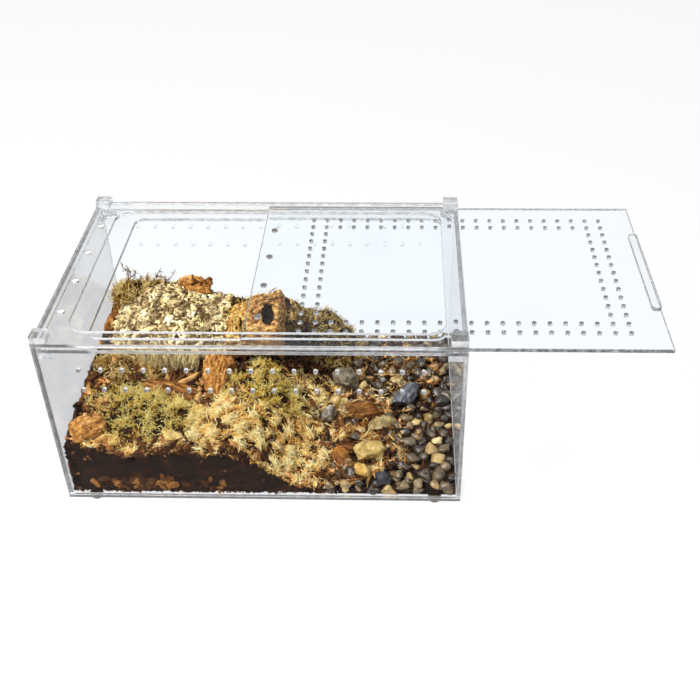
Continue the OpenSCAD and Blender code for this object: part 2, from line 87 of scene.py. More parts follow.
def spot(x: float, y: float, z: float) -> Vector:
    """Returns the point at x, y, z millimetres from the case's left, front, underside corner."""
    return CORNER + Vector((x, y, z)) * MM


@cache
def node_box(node: str) -> tuple[Vector, Vector]:
    """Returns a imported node's lowest and highest corner, measured once."""
    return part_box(node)


# ---------------------------------------------------------------- finishes


def linear(code: str) -> tuple[float, float, float, float]:
    """Turns an sRGB hex colour into the linear one that a shader takes.

    Args:
        code: six hex digits.

    Returns:
        Red, green, blue and an alpha of 1.
    """
    parts = [int(code[i : i + 2], 16) / 255 for i in (0, 2, 4)]
    red, green, blue = (c / 12.92 if c <= 0.04045 else ((c + 0.055) / 1.055) ** 2.4 for c in parts)
    return red, green, blue, 1.0


def add_node(tree: NodeTree, kind: str, inputs: dict | None = None, **settings: object) -> Node:
    """Adds a shader node with its settings and links.

    Args:
        tree: the node tree.
        kind: the node's type, without its ShaderNode prefix.
        inputs: a value or an output socket for each input's name or number.
        settings: the node's own properties.

    Returns:
        The new node.
    """
    node = tree.nodes.new("ShaderNode" + kind)
    for name, value in settings.items():
        setattr(node, name, value)
    for key, value in (inputs or {}).items():
        if isinstance(value, NodeSocket):
            tree.links.new(value, node.inputs[key])
        else:
            node.inputs[key].default_value = value
    return node


def add_math(
    tree: NodeTree, kind: str, *values: NodeSocket | float, clamp: bool = False
) -> NodeSocket:
    """Returns what a math node makes of its values, kept from 0 to 1 if it is clamped."""
    inputs = dict(enumerate(values))
    return add_node(tree, "Math", inputs, operation=kind, use_clamp=clamp).outputs[0]


def add_noise(
    tree: NodeTree, place: NodeSocket, size: float, detail: float, rough: float
) -> NodeSocket:
    """Returns fractal noise with lumps of a size."""
    inputs = {"Vector": place, "Scale": 1 / (size * MM), "Detail": detail, "Roughness": rough}
    return add_node(tree, "TexNoise", inputs).outputs["Fac"]


def add_mix(tree: NodeTree, share: NodeSocket, first: Node, second: Node) -> Node:
    """Mixes two shaders, with a share of the second."""
    return add_node(tree, "MixShader", {0: share, 1: first.outputs[0], 2: second.outputs[0]})


def add_ramp(tree: NodeTree, factor: NodeSocket, stops: Sequence[tuple[float, str]]) -> NodeSocket:
    """Adds a colour ramp.

    Args:
        tree: the node tree.
        factor: what runs along the ramp.
        stops: each colour's place from 0 to 1 and its sRGB hex code, in order.

    Returns:
        The ramp's colour socket.
    """
    ramp = add_node(tree, "ValToRGB", {"Fac": factor})
    elements = ramp.color_ramp.elements
    while len(elements) < len(stops):
        elements.new(0.5)
    for element, (place, code) in zip(elements, stops):
        element.position = place
        element.color = linear(code)
    return ramp.outputs["Color"]


def new_tree(name: str) -> tuple[Material, NodeTree]:
    """Makes an empty node material.

    Args:
        name: the material's name.

    Returns:
        The material and its tree.
    """
    material = bpy.data.materials.new(name)
    material.use_nodes = True
    material.node_tree.nodes.clear()
    return material, material.node_tree


@dataclass(frozen=True)
class Acrylic:
    """Cast acrylic: clear with a faint cool cloud, through which lamps shine straight on.

    cloud is the size of its clouds, and bloom the colour of their thicker places.
    """

    name: str
    tint: str
    bloom: str
    cloud: float = 70.0
    roughness: float = 0.0
    transmission: float = 1.0
    ior: float = 1.18
    mirror: str = "202020"

    @cache
    def material(self) -> Material:
        """Returns the finish as a material."""
        material, tree = new_tree(self.name)
        haze = add_noise(tree, add_node(tree, "TexCoord").outputs["Object"], self.cloud, 2.0, 0.5)
        surface = {
            "Base Color": add_ramp(tree, haze, [(0.35, self.tint), (0.65, self.bloom)]),
            "Roughness": self.roughness,
            "IOR": self.ior,
            "Transmission Weight": self.transmission,
            "Specular Tint": linear(self.mirror),
        }
        mix = add_node(tree, "BsdfPrincipled", surface)
        clear = add_node(tree, "BsdfTransparent", {"Color": linear("FCFCFD")})
        path = add_node(tree, "LightPath")
        for ray in ("Is Diffuse Ray", "Is Shadow Ray"):
            mix = add_mix(tree, path.outputs[ray], mix, clear)
        add_node(tree, "OutputMaterial", {"Surface": mix.outputs[0]})
        return material


class ColourBy(Enum):
    """What picks the colour along a natural finish's ramp."""

    PATCHES = "patches of noise on the surface"
    TINT = "each strewn copy's own tint"


@dataclass(frozen=True)
class Natural:
    """A natural surface: a ramp of colours in patches, and a fine grain that it is bumped by.

    stretch draws the patches out along the piece's own axes, which are turned by turn, in degrees.
    """

    name: str
    stops: tuple[tuple[float, str], ...]
    by: ColourBy = ColourBy.PATCHES
    patch: float = 4.0
    contrast: float = 1.6
    grain: float = 1.0
    bump: float = 0.4
    roughness: float = 0.85
    specular: float = 0.08
    stretch: Triple = (1.0, 1.0, 1.0)
    turn: Triple = (0.0, 0.0, 0.0)
    speckle: str | None = None

    @cache
    def material(self) -> Material:
        """Returns the finish as a material."""
        material, tree = new_tree(self.name)
        own_axes = {
            "Vector": add_node(tree, "TexCoord").outputs["Object"],
            "Rotation": [math.radians(t) for t in self.turn],
            "Scale": self.stretch,
        }
        place = add_node(tree, "Mapping", own_axes, vector_type="TEXTURE").outputs[0]
        patches = add_noise(tree, place, self.patch, 4.0, 0.6)
        middle = 0.5 - 0.5 * self.contrast
        factor = add_math(tree, "MULTIPLY_ADD", patches, self.contrast, middle)
        if self.by is ColourBy.TINT:
            tint = add_node(tree, "Attribute", attribute_name="tint").outputs["Fac"]
            shade = add_math(tree, "MULTIPLY_ADD", factor, 0.35, -0.17)
            factor = add_math(tree, "ADD", tint, shade, clamp=True)
        colour = add_ramp(tree, factor, self.stops)
        grain = add_noise(tree, place, self.grain, 3.0, 0.65)
        if self.speckle is not None:
            spread = add_ramp(tree, grain, [(0.0, "000000"), (0.6, "000000"), (0.68, "FFFFFF")])
            mix = {"Factor": spread, 6: colour, 7: linear(self.speckle)}
            colour = add_node(tree, "Mix", mix, data_type="RGBA").outputs[2]
        bump = add_node(tree, "Bump", {"Height": grain, "Distance": self.bump * MM, "Strength": 0.8})
        surface = {
            "Base Color": colour,
            "Roughness": self.roughness,
            "Specular IOR Level": self.specular,
            "Normal": bump.outputs[0],
        }
        shader = add_node(tree, "BsdfPrincipled", surface)
        add_node(tree, "OutputMaterial", {"Surface": shader.outputs[0]})
        return material


# Cast acrylic sheet with its masking film peeled off: nearly invisible, a faint neutral grey
SHEET = Acrylic("cast_acrylic_sheet", "FCFCFC", "F5F6F7")
# The lid and the back wall: the same sheet with a breath of blue in it
COOL_SHEET = Acrylic("cool_cast_acrylic", "F8FCFF", "FAFDFF")
# The left wall, which the photograph shows as a pale grey pane
# Its grey is painted: it stands in for the reflections in the stacked sheets, not a tint of the acrylic.
REFLECTION_GREY_SHEET = Acrylic("cast_acrylic_end_wall", "E4E6E9", "DADDE1")
# Laser-cut edge of the sheet: light gathers in it, in clouded streaks, whose grey is painted reflection
# of the darker things seen in the edge
CUT_EDGE = Acrylic(
    "laser_cut_acrylic_edge", "F6F7F7", "C4C6C8",
    cloud=5.0, roughness=0.25, transmission=0.8, ior=1.49, mirror="FFFFFF",
)
# Edge of the lid and of its vents: laser cut with a heavier frost, and painted a darker grey as
# reflection of the dark things seen in it
LID_EDGE = Acrylic(
    "frosted_acrylic_edge", "B4B7B9", "72767A",
    cloud=2.5, roughness=0.3, transmission=0.4, ior=1.49, mirror="FFFFFF",
)
# Nickel-plated magnet face: a silver disc painted bright, partly a painted highlight, as the lit copy of
# the shaded magnets below
BRIGHT_MAGNET = Natural(
    "lit_nickel_plated_magnet", ((0.0, "B4B5B6"), (1.0, "EEEFF0")),
    patch=1.5, roughness=0.3, specular=0.9, bump=0.02,
)
# The same magnets under the lid's sheet, in shade
DARK_MAGNET = Natural(
    "shaded_magnet", ((0.0, "3A3633"), (1.0, "6E6A66")),
    patch=1.5, roughness=0.35, specular=0.9, bump=0.02,
)
# Cast polyurethane bumper: soft, yellowish and a little milky
BUMPER = Natural(
    "cast_polyurethane_bumper", ((0.0, "5E5142"), (1.0, "94836C")),
    patch=3.0, roughness=0.4, bump=0.05,
)
# Damp coconut soil pressed on the sheet: nearly black, with warm brown clods
SOIL = Natural(
    "damp_coconut_soil",
    ((0.0, "120A07"), (0.45, "1E120D"), (0.62, "2A1911"), (0.8, "4C2E18"), (1.0, "805026")),
    patch=8.0, contrast=1.7, grain=1.6, bump=0.9, roughness=0.75,
)
# Loose crumbs of the same soil
CRUMB = Natural(
    "loose_soil_crumbs",
    ((0.0, "140C08"), (0.55, "2E1C13"), (0.85, "5E3A1E"), (1.0, "9A6834")),
    ColourBy.TINT, grain=0.8,
)
# Peat and leaf mould under the moss, painted near-black as the shade between the stems; the same finish
# is the painted shade under the straw, under the corner clump's coat and in the log's pit
MOULD_AND_SHADE = Natural(
    "leaf_mould_and_painted_shade", ((0.0, "0E0805"), (0.5, "1E130A"), (0.8, "3A2612"), (1.0, "5E421E")),
    patch=3.0, grain=1.2, bump=1.0,
)
# Dried cushion moss: golden-olive tips over dark stems; the feet of the sprigs are darkened further as
# painted shade deep in the cushion
MOSS = Natural(
    "dried_cushion_moss",
    ((0.0, "221205"), (0.14, "744A10"), (0.35, "CA982C"), (0.6, "F6D054"), (1.0, "FFF4A0")),
    ColourBy.TINT, patch=5.0, grain=0.7, bump=0.2, roughness=0.8,
)
# The browner moss along the back and beside the hide
BROWN_MOSS = Natural(
    "browned_moss",
    ((0.0, "1C0F06"), (0.22, "54340F"), (0.5, "987030"), (0.75, "CCA654"), (1.0, "F8E09A")),
    ColourBy.TINT, patch=6.0, grain=0.7, bump=0.2, roughness=0.8,
)
# Shredded sphagnum and straw: flat pale ribbons with a silky face
STRAW = Natural(
    "shredded_sphagnum",
    ((0.0, "3A1C08"), (0.12, "9C5C1E"), (0.3, "E4A040"), (0.6, "FED470"), (1.0, "FFF2B4")),
    ColourBy.TINT, patch=8.0, grain=0.6, bump=0.12, roughness=0.65, specular=0.15,
)
# Coconut fibre: thin red-brown threads
COIR = Natural(
    "coconut_fibre",
    ((0.0, "42220C"), (0.35, "8A5220"), (0.7, "C47E34"), (1.0, "EEB462")),
    ColourBy.TINT, patch=6.0, grain=0.6, bump=0.1, roughness=0.75,
)
# Bark shreds strewn on the ground: brown and orange splinters
SHREDS = Natural(
    "bark_shreds",
    ((0.0, "1E120B"), (0.35, "4A2C16"), (0.65, "7E512A"), (0.85, "B0793E"), (1.0, "DDB070")),
    ColourBy.TINT, patch=3.0, grain=0.9, bump=0.5,
)
# Cork under the lichen: dark brown cracks between grey-brown plates
CORK_SKIN = Natural(
    "lichened_cork_skin",
    ((0.0, "1C1008"), (0.35, "5A4228"), (0.65, "9C8256"), (1.0, "D0BA86")),
    contrast=2.0, grain=1.3, bump=1.0,
)
# Crust lichen: cream and pale yellow scales, some gone grey
LICHEN = Natural(
    "crust_lichen",
    (
        (0.0, "4A3520"), (0.15, "85704E"), (0.35, "B8A47C"),
        (0.6, "E2CC94"), (0.85, "FCE8A4"), (1.0, "FFF6D2"),
    ),
    ColourBy.TINT, patch=3.0, grain=0.8, bump=0.3, roughness=0.9,
)
# River gravel: tumbled, damp, from slate brown to olive and tan
GRAVEL = Natural(
    "tumbled_river_gravel",
    (
        (0.0, "14100E"), (0.28, "3A3027"), (0.48, "64543C"),
        (0.64, "947A4C"), (0.82, "C8A866"), (1.0, "F6DE9E"),
    ),
    ColourBy.TINT, grain=1.4, bump=0.5, roughness=0.24, specular=0.5, speckle="B09A6C",
)
# Sawn branch: pale end grain in an amber bark
SAWN_WOOD = Natural(
    "sawn_branch", ((0.0, "6E4018"), (0.5, "AC7030"), (1.0, "DCA65A")),
    patch=3.0, grain=0.8, bump=0.3,
)


def bark_finish(name: str, codes: str, turn: Triple, drawn: float) -> Natural:
    """Returns the finish of split bark or wood: fibres along the piece, with dark cracks between.

    Args:
        name: the bark.
        codes: five colours from its cracks to its torn edges.
        turn: how the piece lies, in degrees about each axis.
        drawn: how far its fibres are drawn out.
    """
    stops = tuple(zip((0.0, 0.25, 0.5, 0.75, 1.0), codes.split()))
    fibres = (drawn, 1.0, 1.0)
    return Natural(name, stops, patch=3.0, contrast=2.3, bump=0.8, stretch=fibres, turn=turn)


def stone_finish(name: str, codes: str, speckle: str | None = None) -> Natural:
    """Returns the finish of a worn stone: soft mottling and a fine pitted skin.

    Args:
        name: the rock.
        codes: the colours of its shaded veins, its body and its bloom.
        speckle: the colour of its crystals, if it has them.
    """
    return Natural(
        name, tuple(zip((0.0, 0.5, 1.0), codes.split())),
        patch=5.0, contrast=2.0, grain=0.9, bump=0.3, roughness=0.5, specular=0.25, speckle=speckle,
    )


STONES = {
    "stone_back": ("grey_stone", stone_finish("grey_granite", "241E18 665A48 B8AC90", "CFC6B0")),
    "stone_mid": ("grey_stone", stone_finish("pale_schist", "2A241E 6E665A DCD2BC")),
    "stone_wedge": ("grey_stone", stone_finish("blue_slate", "22222A 585C66 96948C")),
    "stone_flat": ("olive_stone", stone_finish("veined_quartzite", "4A3A20 A08A58 E2D09C")),
    "stone_front": ("olive_stone", stone_finish("olive_sandstone", "6A5024 BE9E56 F2DE9C")),
    "stone_amber": ("amber_stone", stone_finish("amber_chert", "7A5226 C49A4C EED48C")),
    "stone_dark": ("black_stone", stone_finish("black_flint", "0A0A0C 1E1F24 565A62")),
}


# ---------------------------------------------------------------- mesh tools


def as_mesh(form: BMesh, name: str, smooth: bool = True) -> Mesh:
    """Ends a bmesh as a mesh.

    Args:
        form: the bmesh, which is freed.
        name: the mesh's name.
        smooth: whether light runs smoothly over its faces.

    Returns:
        The mesh.
    """
    mesh = bpy.data.meshes.new(name)
    form.to_mesh(mesh)
    form.free()
    mesh.polygons.foreach_set("use_smooth", [smooth] * len(mesh.polygons))
    return mesh


def solid_copy(node: str, longest: float | None = None, rounds: int = 5) -> BMesh:
    """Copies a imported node's mesh with its loose triangles merged, and splits its long edges.

    Args:
        node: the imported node.
        longest: the length over which an edge is split; by default, none is.
        rounds: how many times over.

    Returns:
        The copy.
    """
    form = bmesh.new()
    form.from_mesh(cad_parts[node].data)
    ops.remove_doubles(form, verts=form.verts, dist=0.005 * MM)
    for _ in range(rounds if longest else 0):
        long_edges = [e for e in form.edges if e.calc_length() > longest * MM]
        if not long_edges:
            break
        ops.subdivide_edges(form, edges=long_edges, cuts=1)
        ops.triangulate(form, faces=form.faces)
    return form


def soften(form: BMesh, rounds: int) -> None:
    """Rounds a form's facets off.

    Args:
        form: the bmesh.
        rounds: how many times over.
    """
    axes = {f"use_axis_{axis}": True for axis in "xyz"}
    for _ in range(rounds):
        ops.smooth_vert(form, verts=form.verts, factor=0.5, **axes)


def roughen(
    form: BMesh,
    depth: float,
    size: float,
    seed: int,
    stretch: Triple = (1.0, 1.0, 1.0),
    turn: Triple = (0.0, 0.0, 0.0),
    ridged: bool = False,
) -> None:
    """Moves every point along its normal by fractal noise.

    Args:
        form: the bmesh.
        depth: the most that a point moves.
        size: the size of the lumps.
        seed: shifts the noise.
        stretch: draws the lumps out along each of the piece's axes.
        turn: how the piece lies, in degrees; only the turns about y and z count here.
        ridged: sharp cracks instead of round lumps.
    """
    form.normal_update()
    shift = Vector((seed * 7.3, seed * 3.1, seed * 5.7))
    tip, yaw = (Matrix.Rotation(math.radians(-turn[i]), 3, "XYZ"[i]) for i in (1, 2))
    for vert in form.verts:
        own = tip @ yaw @ vert.co
        place = Vector([c / (size * MM * s) for c, s in zip(own, stretch)]) + shift
        if ridged:
            height = 0.6 - 2.2 * max(0.0, 0.35 - abs(noise.fractal(place, 0.8, 2.1, 4)))
        else:
            height = noise.fractal(place, 0.9, 2.0, 4)
        vert.co += vert.normal * (height * depth * MM)


def chip(form: BMesh, sides: int, keep: float, seed: int) -> None:
    """Splits flat sides off a form.

    Args:
        form: the bmesh.
        sides: how many flat sides it gets.
        keep: how much of its reach stays under each of them, from 0 to 1.
        seed: which way they look.
    """
    draws = np.random.default_rng(seed)
    middle = sum((v.co for v in form.verts), Vector()) / len(form.verts)
    for _ in range(sides):
        side = Vector(draws.normal(0, 1, 3).tolist()).normalized()
        reach = max((v.co - middle).dot(side) for v in form.verts)
        limit = reach * (keep + (1 - keep) * draws.uniform(0, 0.6))
        for vert in form.verts:
            vert.co -= side * max(0.0, (vert.co - middle).dot(side) - limit)


def hollow(form: BMesh, middle: Vector, radii: Triple, depth: float) -> None:
    """Sinks a ragged pit into a form's front, with its faces in the form's second material, which paints
    them dark as the pit's shade.

    Args:
        form: the bmesh.
        middle: the pit's middle.
        radii: its half width, reach along y and half height.
        depth: how deep it is.
    """
    into = Vector((0.0, 0.85, -0.5))

    def away(point: Vector) -> float:
        """Returns how far a point is from the middle, as a share of the radii."""
        return Vector([c / (r * MM) for c, r in zip(point - middle, radii)]).length

    for face in form.faces:
        if away(face.calc_center_median()) < 1:
            face.material_index = 1
    for vert in form.verts:
        reach = away(vert.co) + 0.35 * noise.noise(vert.co / (3 * MM))
        if reach < 1:
            vert.co += into * (depth * MM * (1 - reach**3))


@dataclass(frozen=True)
class Spot:
    """Where one copy of a strewn shape lies, which shape it is, and its tint from 0 to 1."""

    place: Matrix
    shape: int
    tint: float


def aimed(point: Vector, direction: Vector, roll: float = 0.0, size: float = 1.0) -> Matrix:
    """Returns the placement that points a shape's +Z somewhere.

    Args:
        point: where the shape's origin goes.
        direction: where its +Z points.
        roll: its turn about that, in radians.
        size: its scale.
    """
    turned = direction.to_track_quat("Z", "Y").to_matrix().to_4x4()
    scaled = Matrix.Diagonal((size, size, size, 1.0))
    return Matrix.Translation(point) @ turned @ Matrix.Rotation(roll, 4, "Z") @ scaled


@cache
def inner_box() -> tuple[Vector, Vector]:
    """Returns the corners of the room inside the case's walls, measured once."""
    low = Vector((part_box("left_wall")[1].x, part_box("front_wall")[1].y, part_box("base_panel")[1].z))
    high = Vector((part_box("right_wall")[0].x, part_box("back_wall")[0].y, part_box("lower_frame")[0].z))
    return low, high


def strewn(name: str, shapes: Sequence[Mesh], spots: Sequence[Spot], fade: float = 0.0) -> Mesh:
    """Joins many small copies of a few shapes, pressed flat where they would pass a wall.

    Args:
        name: the mesh's name.
        shapes: the shapes, of triangles.
        spots: one entry a copy.
        fade: how much the tint rises from the foot of a copy to its tip, a painted shade that darkens the
            feet.

    Returns:
        The joined mesh, with the tint in the attribute "tint".
    """
    low, high = (np.array(corner) for corner in inner_box())
    points, faces, tints, first = [], [], [], 0
    for index, shape in enumerate(shapes):
        chosen = [s for s in spots if s.shape == index]
        if not chosen:
            continue
        own = np.empty(len(shape.vertices) * 3)
        shape.vertices.foreach_get("co", own)
        own = own.reshape(-1, 3)
        corners = np.empty(len(shape.polygons) * 3, int)
        shape.polygons.foreach_get("vertices", corners)
        places = np.array([s.place for s in chosen])
        moved = np.einsum("nij,mj->nmi", places[:, :3, :3], own) + places[:, None, :3, 3]
        tint = np.array([s.tint for s in chosen])
        gap = (0.1 + 0.5 * np.modf(tint * 97.0)[0][:, None, None]) * MM
        rise = (own[:, 2] - own[:, 2].min()) / np.ptp(own[:, 2]) - 0.5
        starts = first + len(own) * np.arange(len(chosen))
        faces.append((corners[None, :] + starts[:, None]).reshape(-1))
        points.append(np.clip(moved, low + gap, high - gap).reshape(-1))
        # Painted shade: fade lowers the tint at each copy's foot and raises it at its tip, as if the feet
        # lay in shade among the other copies.
        tints.append(np.clip(tint[:, None] + fade * rise, 0, 1).reshape(-1))
        first += len(own) * len(chosen)
    points, faces, tints = (np.concatenate(each) for each in (points, faces, tints))
    mesh = bpy.data.meshes.new(name)
    mesh.vertices.add(len(points) // 3)
    mesh.vertices.foreach_set("co", points)
    mesh.loops.add(len(faces))
    mesh.loops.foreach_set("vertex_index", faces)
    mesh.polygons.add(len(faces) // 3)
    mesh.polygons.foreach_set("loop_start", np.arange(0, len(faces), 3))
    mesh.update(calc_edges=True)
    mesh.validate()
    mesh.attributes.new("tint", "FLOAT", "POINT").data.foreach_set("value", tints)
    mesh.polygons.foreach_set("use_smooth", [True] * len(mesh.polygons))
    return mesh


def put(name: str, data: ID) -> Object:
    """Puts a new object in the scene.

    Args:
        name: the object's name.
        data: its mesh, lamp or camera.

    Returns:
        The object.
    """
    piece = bpy.data.objects.new(name, data)
    bpy.context.scene.collection.objects.link(piece)
    return piece


def settle(
    name: str,
    form: Mesh | BMesh,
    finishes: Natural | Acrylic | Sequence[Natural | Acrylic],
    slot: str,
    stands_for: Sequence[str] = (),
    body: str = CASE,
    smooth: bool = True,
) -> None:
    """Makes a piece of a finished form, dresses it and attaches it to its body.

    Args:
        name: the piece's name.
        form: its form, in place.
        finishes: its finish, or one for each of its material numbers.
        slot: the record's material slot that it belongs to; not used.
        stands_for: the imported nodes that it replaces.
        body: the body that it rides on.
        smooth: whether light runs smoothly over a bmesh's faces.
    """
    mesh = as_mesh(form, name, smooth) if isinstance(form, BMesh) else form
    piece = put(name, mesh)
    for finish in finishes if isinstance(finishes, Sequence) else (finishes,):
        mesh.materials.append(finish.material())
    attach(piece, body)
    if stands_for:
        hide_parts(*stands_for)
    log.info("%s: %d faces in %s", name, len(mesh.polygons), mesh.materials[0].name)


# ---------------------------------------------------------------- small shapes


def cone(
    form: BMesh, foot: float, tip: float, length: float, place: Matrix, cap: bool = True
) -> None:
    """Adds a three-sided cone along +Z, with its end radii and length in metres."""
    ends = {"radius1": foot, "radius2": tip, "depth": length}
    ops.create_cone(form, cap_ends=cap, segments=3, matrix=place, **ends)


def slit(form: BMesh, heights: Iterable[float]) -> None:
    """Cuts rings round a form, so that it can bend there.

    Args:
        form: the bmesh.
        heights: the rings' heights in metres.
    """
    for height in heights:
        everything = [*form.verts, *form.edges, *form.faces]
        ops.bisect_plane(form, geom=everything, plane_co=(0, 0, height), plane_no=(0, 0, 1))


def thread(length: float, thick: float, rings: int, wave: float, seed: int) -> Mesh:
    """Makes a flat three-sided thread of triangles along +Z that wanders sideways.

    Args:
        length: its length.
        thick: its width.
        rings: how many times it can bend.
        wave: how far it wanders.
        seed: the course it takes.

    Returns:
        The thread.
    """
    form = bmesh.new()
    cone(form, thick * MM / 2, thick * MM / 4, length * MM, Matrix())
    slit(form, [length * MM * ((i + 1) / (rings + 1) - 0.5) for i in range(rings)])
    for vert in form.verts:
        along = vert.co.z / (length * MM) + 0.5
        turn = seed * 1.7 + along * math.pi * (1.3 + 0.6 * math.sin(seed))
        vert.co.y *= 0.4
        vert.co.x += wave * MM * math.sin(turn)
        vert.co.y += 0.7 * wave * MM * math.sin(1.7 * turn + seed)
    ops.triangulate(form, faces=form.faces)
    return as_mesh(form, "thread")


def moss_sprig(seed: int) -> Mesh:
    """Makes a curved stem of triangles along +Z, set with pointed leaflets.

    Args:
        seed: how the leaflets stand.

    Returns:
        The sprig.
    """
    leaves, length, leaflet, curve = 6, 6 * MM, 1.9 * MM, 2.6 * MM
    form = bmesh.new()
    cone(form, 0.26 * MM, 0.12 * MM, length, Matrix.Translation((0, 0, length / 2)), False)
    slit(form, [length / 2])
    for i in range(leaves):
        stem = Matrix.Translation((0, 0, length * (0.25 + 0.75 * i / (leaves - 1))))
        round_it = Matrix.Rotation(2.4 * i + seed, 4, "Z")
        lean = Matrix.Rotation(0.7 + 0.3 * (i % 2), 4, "Y")
        flat = Matrix.Diagonal((1.0, 0.5, 1.0, 1.0))
        place = stem @ round_it @ lean @ flat @ Matrix.Translation((0, 0, 0.9 * MM))
        cone(form, 0.36 * MM, 0, leaflet, place)
    for vert in form.verts:
        vert.co.x += curve * (vert.co.z / length) ** 2
    ops.triangulate(form, faces=form.faces)
    return as_mesh(form, "moss_sprig")


def lump(detail: int, size: Sequence[float], rough: float, seed: int, facets: int = 0) -> Mesh:
    """Makes a worn lump: a ball drawn out along its axes, dented and split flat at places.

    Args:
        detail: the ball's subdivisions.
        size: its half lengths.
        rough: how deep the dents are, as a share of its size.
        seed: how it is dented.
        facets: how many flat sides it has.

    Returns:
        The lump, of triangles.
    """
    facet_reach = 0.62
    form = bmesh.new()
    ops.create_icosphere(form, subdivisions=detail, radius=1.0)
    shift = Vector((seed * 3.7, seed * 1.3, 0.0))
    for vert in form.verts:
        vert.co *= 1 + rough * noise.noise(vert.co * 1.3 + shift)
        for number in range(facets):
            turn, rise = 2.4 * number + seed, math.sin(1.9 * number + 2.7 * seed)
            side = Vector((math.cos(turn), math.sin(turn), rise)).normalized()
            vert.co -= side * max(0.0, vert.co.dot(side) - facet_reach)
        vert.co = Vector([c * s * MM for c, s in zip(vert.co, size)])
    return as_mesh(form, "lump")


def scale(length: float, width: float, curl: float, seed: int) -> Mesh:
    """Makes a jagged scale of crust that faces +Z, with its rim curled up.

    Args:
        length: its half length.
        width: its half width.
        curl: how high its rim curls.
        seed: how it is torn.

    Returns:
        The scale, of triangles.
    """
    form = bmesh.new()
    ops.create_circle(form, cap_ends=True, segments=9, radius=1.0)
    raised = ops.extrude_face_region(form, geom=list(form.faces))
    tops = [v for v in raised["geom"] if isinstance(v, BMVert)]
    ops.translate(form, verts=tops, vec=(0, 0, 0.4 * MM))
    ops.poke(form, faces=[f for f in form.faces if len(f.verts) > 4])
    for vert in form.verts:
        reach = math.hypot(vert.co.x, vert.co.y)
        turn = math.atan2(vert.co.y, vert.co.x)
        torn = 1 + 0.4 * math.sin(3 * turn + seed) + 0.3 * math.sin(5 * turn + 2.3 * seed)
        vert.co.x *= length * MM * torn
        vert.co.y *= width * MM * torn
        vert.co.z += curl * MM * reach * (0.4 + 0.6 * math.sin(2 * turn + seed))
    ops.triangulate(form, faces=form.faces)
    ops.recalc_face_normals(form, faces=form.faces)
    return as_mesh(form, "scale")


# ---------------------------------------------------------------- the ground


MOSS_NODES = ("moss_front", "moss_side", "moss_corner", "moss_centre", "moss_back")
SOFT_GROUND = ("soil_bed", "gravel_bed", "moss_straw", *MOSS_NODES)
BARK_NODES = ("bark_slab", "bark_chunk", "bark_lump", "bark_flake")
LYING = ("cork_hide", "cork_log", *BARK_NODES, "wood_block", "twig_slice", "wood_knot", *STONES)


@dataclass(frozen=True)
class Lie:
    """How strewn copies lie: lean, size and tint are each the least and the most of them.

    lean is the angle from the normal, in degrees, sink how far the copies are sunk and heave how
    far the highest tufts rise. flow is how alike the copies of a tuft lie, from 0 to 1, and fade
    how much the tint rises from the foot of a copy to its tip, as painted shade on the feet.
    """

    lean: Pair
    size: Pair
    tint: Pair = (0.0, 1.0)
    sink: float = 0.0
    heave: float = 0.0
    flow: float = 0.0
    fade: float = 0.0


def between(span: Pair, share: float) -> float:
    """Returns the number at a share of the way along a span."""
    return span[0] + (span[1] - span[0]) * share


def level(_: Vector, normal: Vector) -> bool:
    """Tells whether a face lies level enough to hold crumbs."""
    return normal.z > 0.3


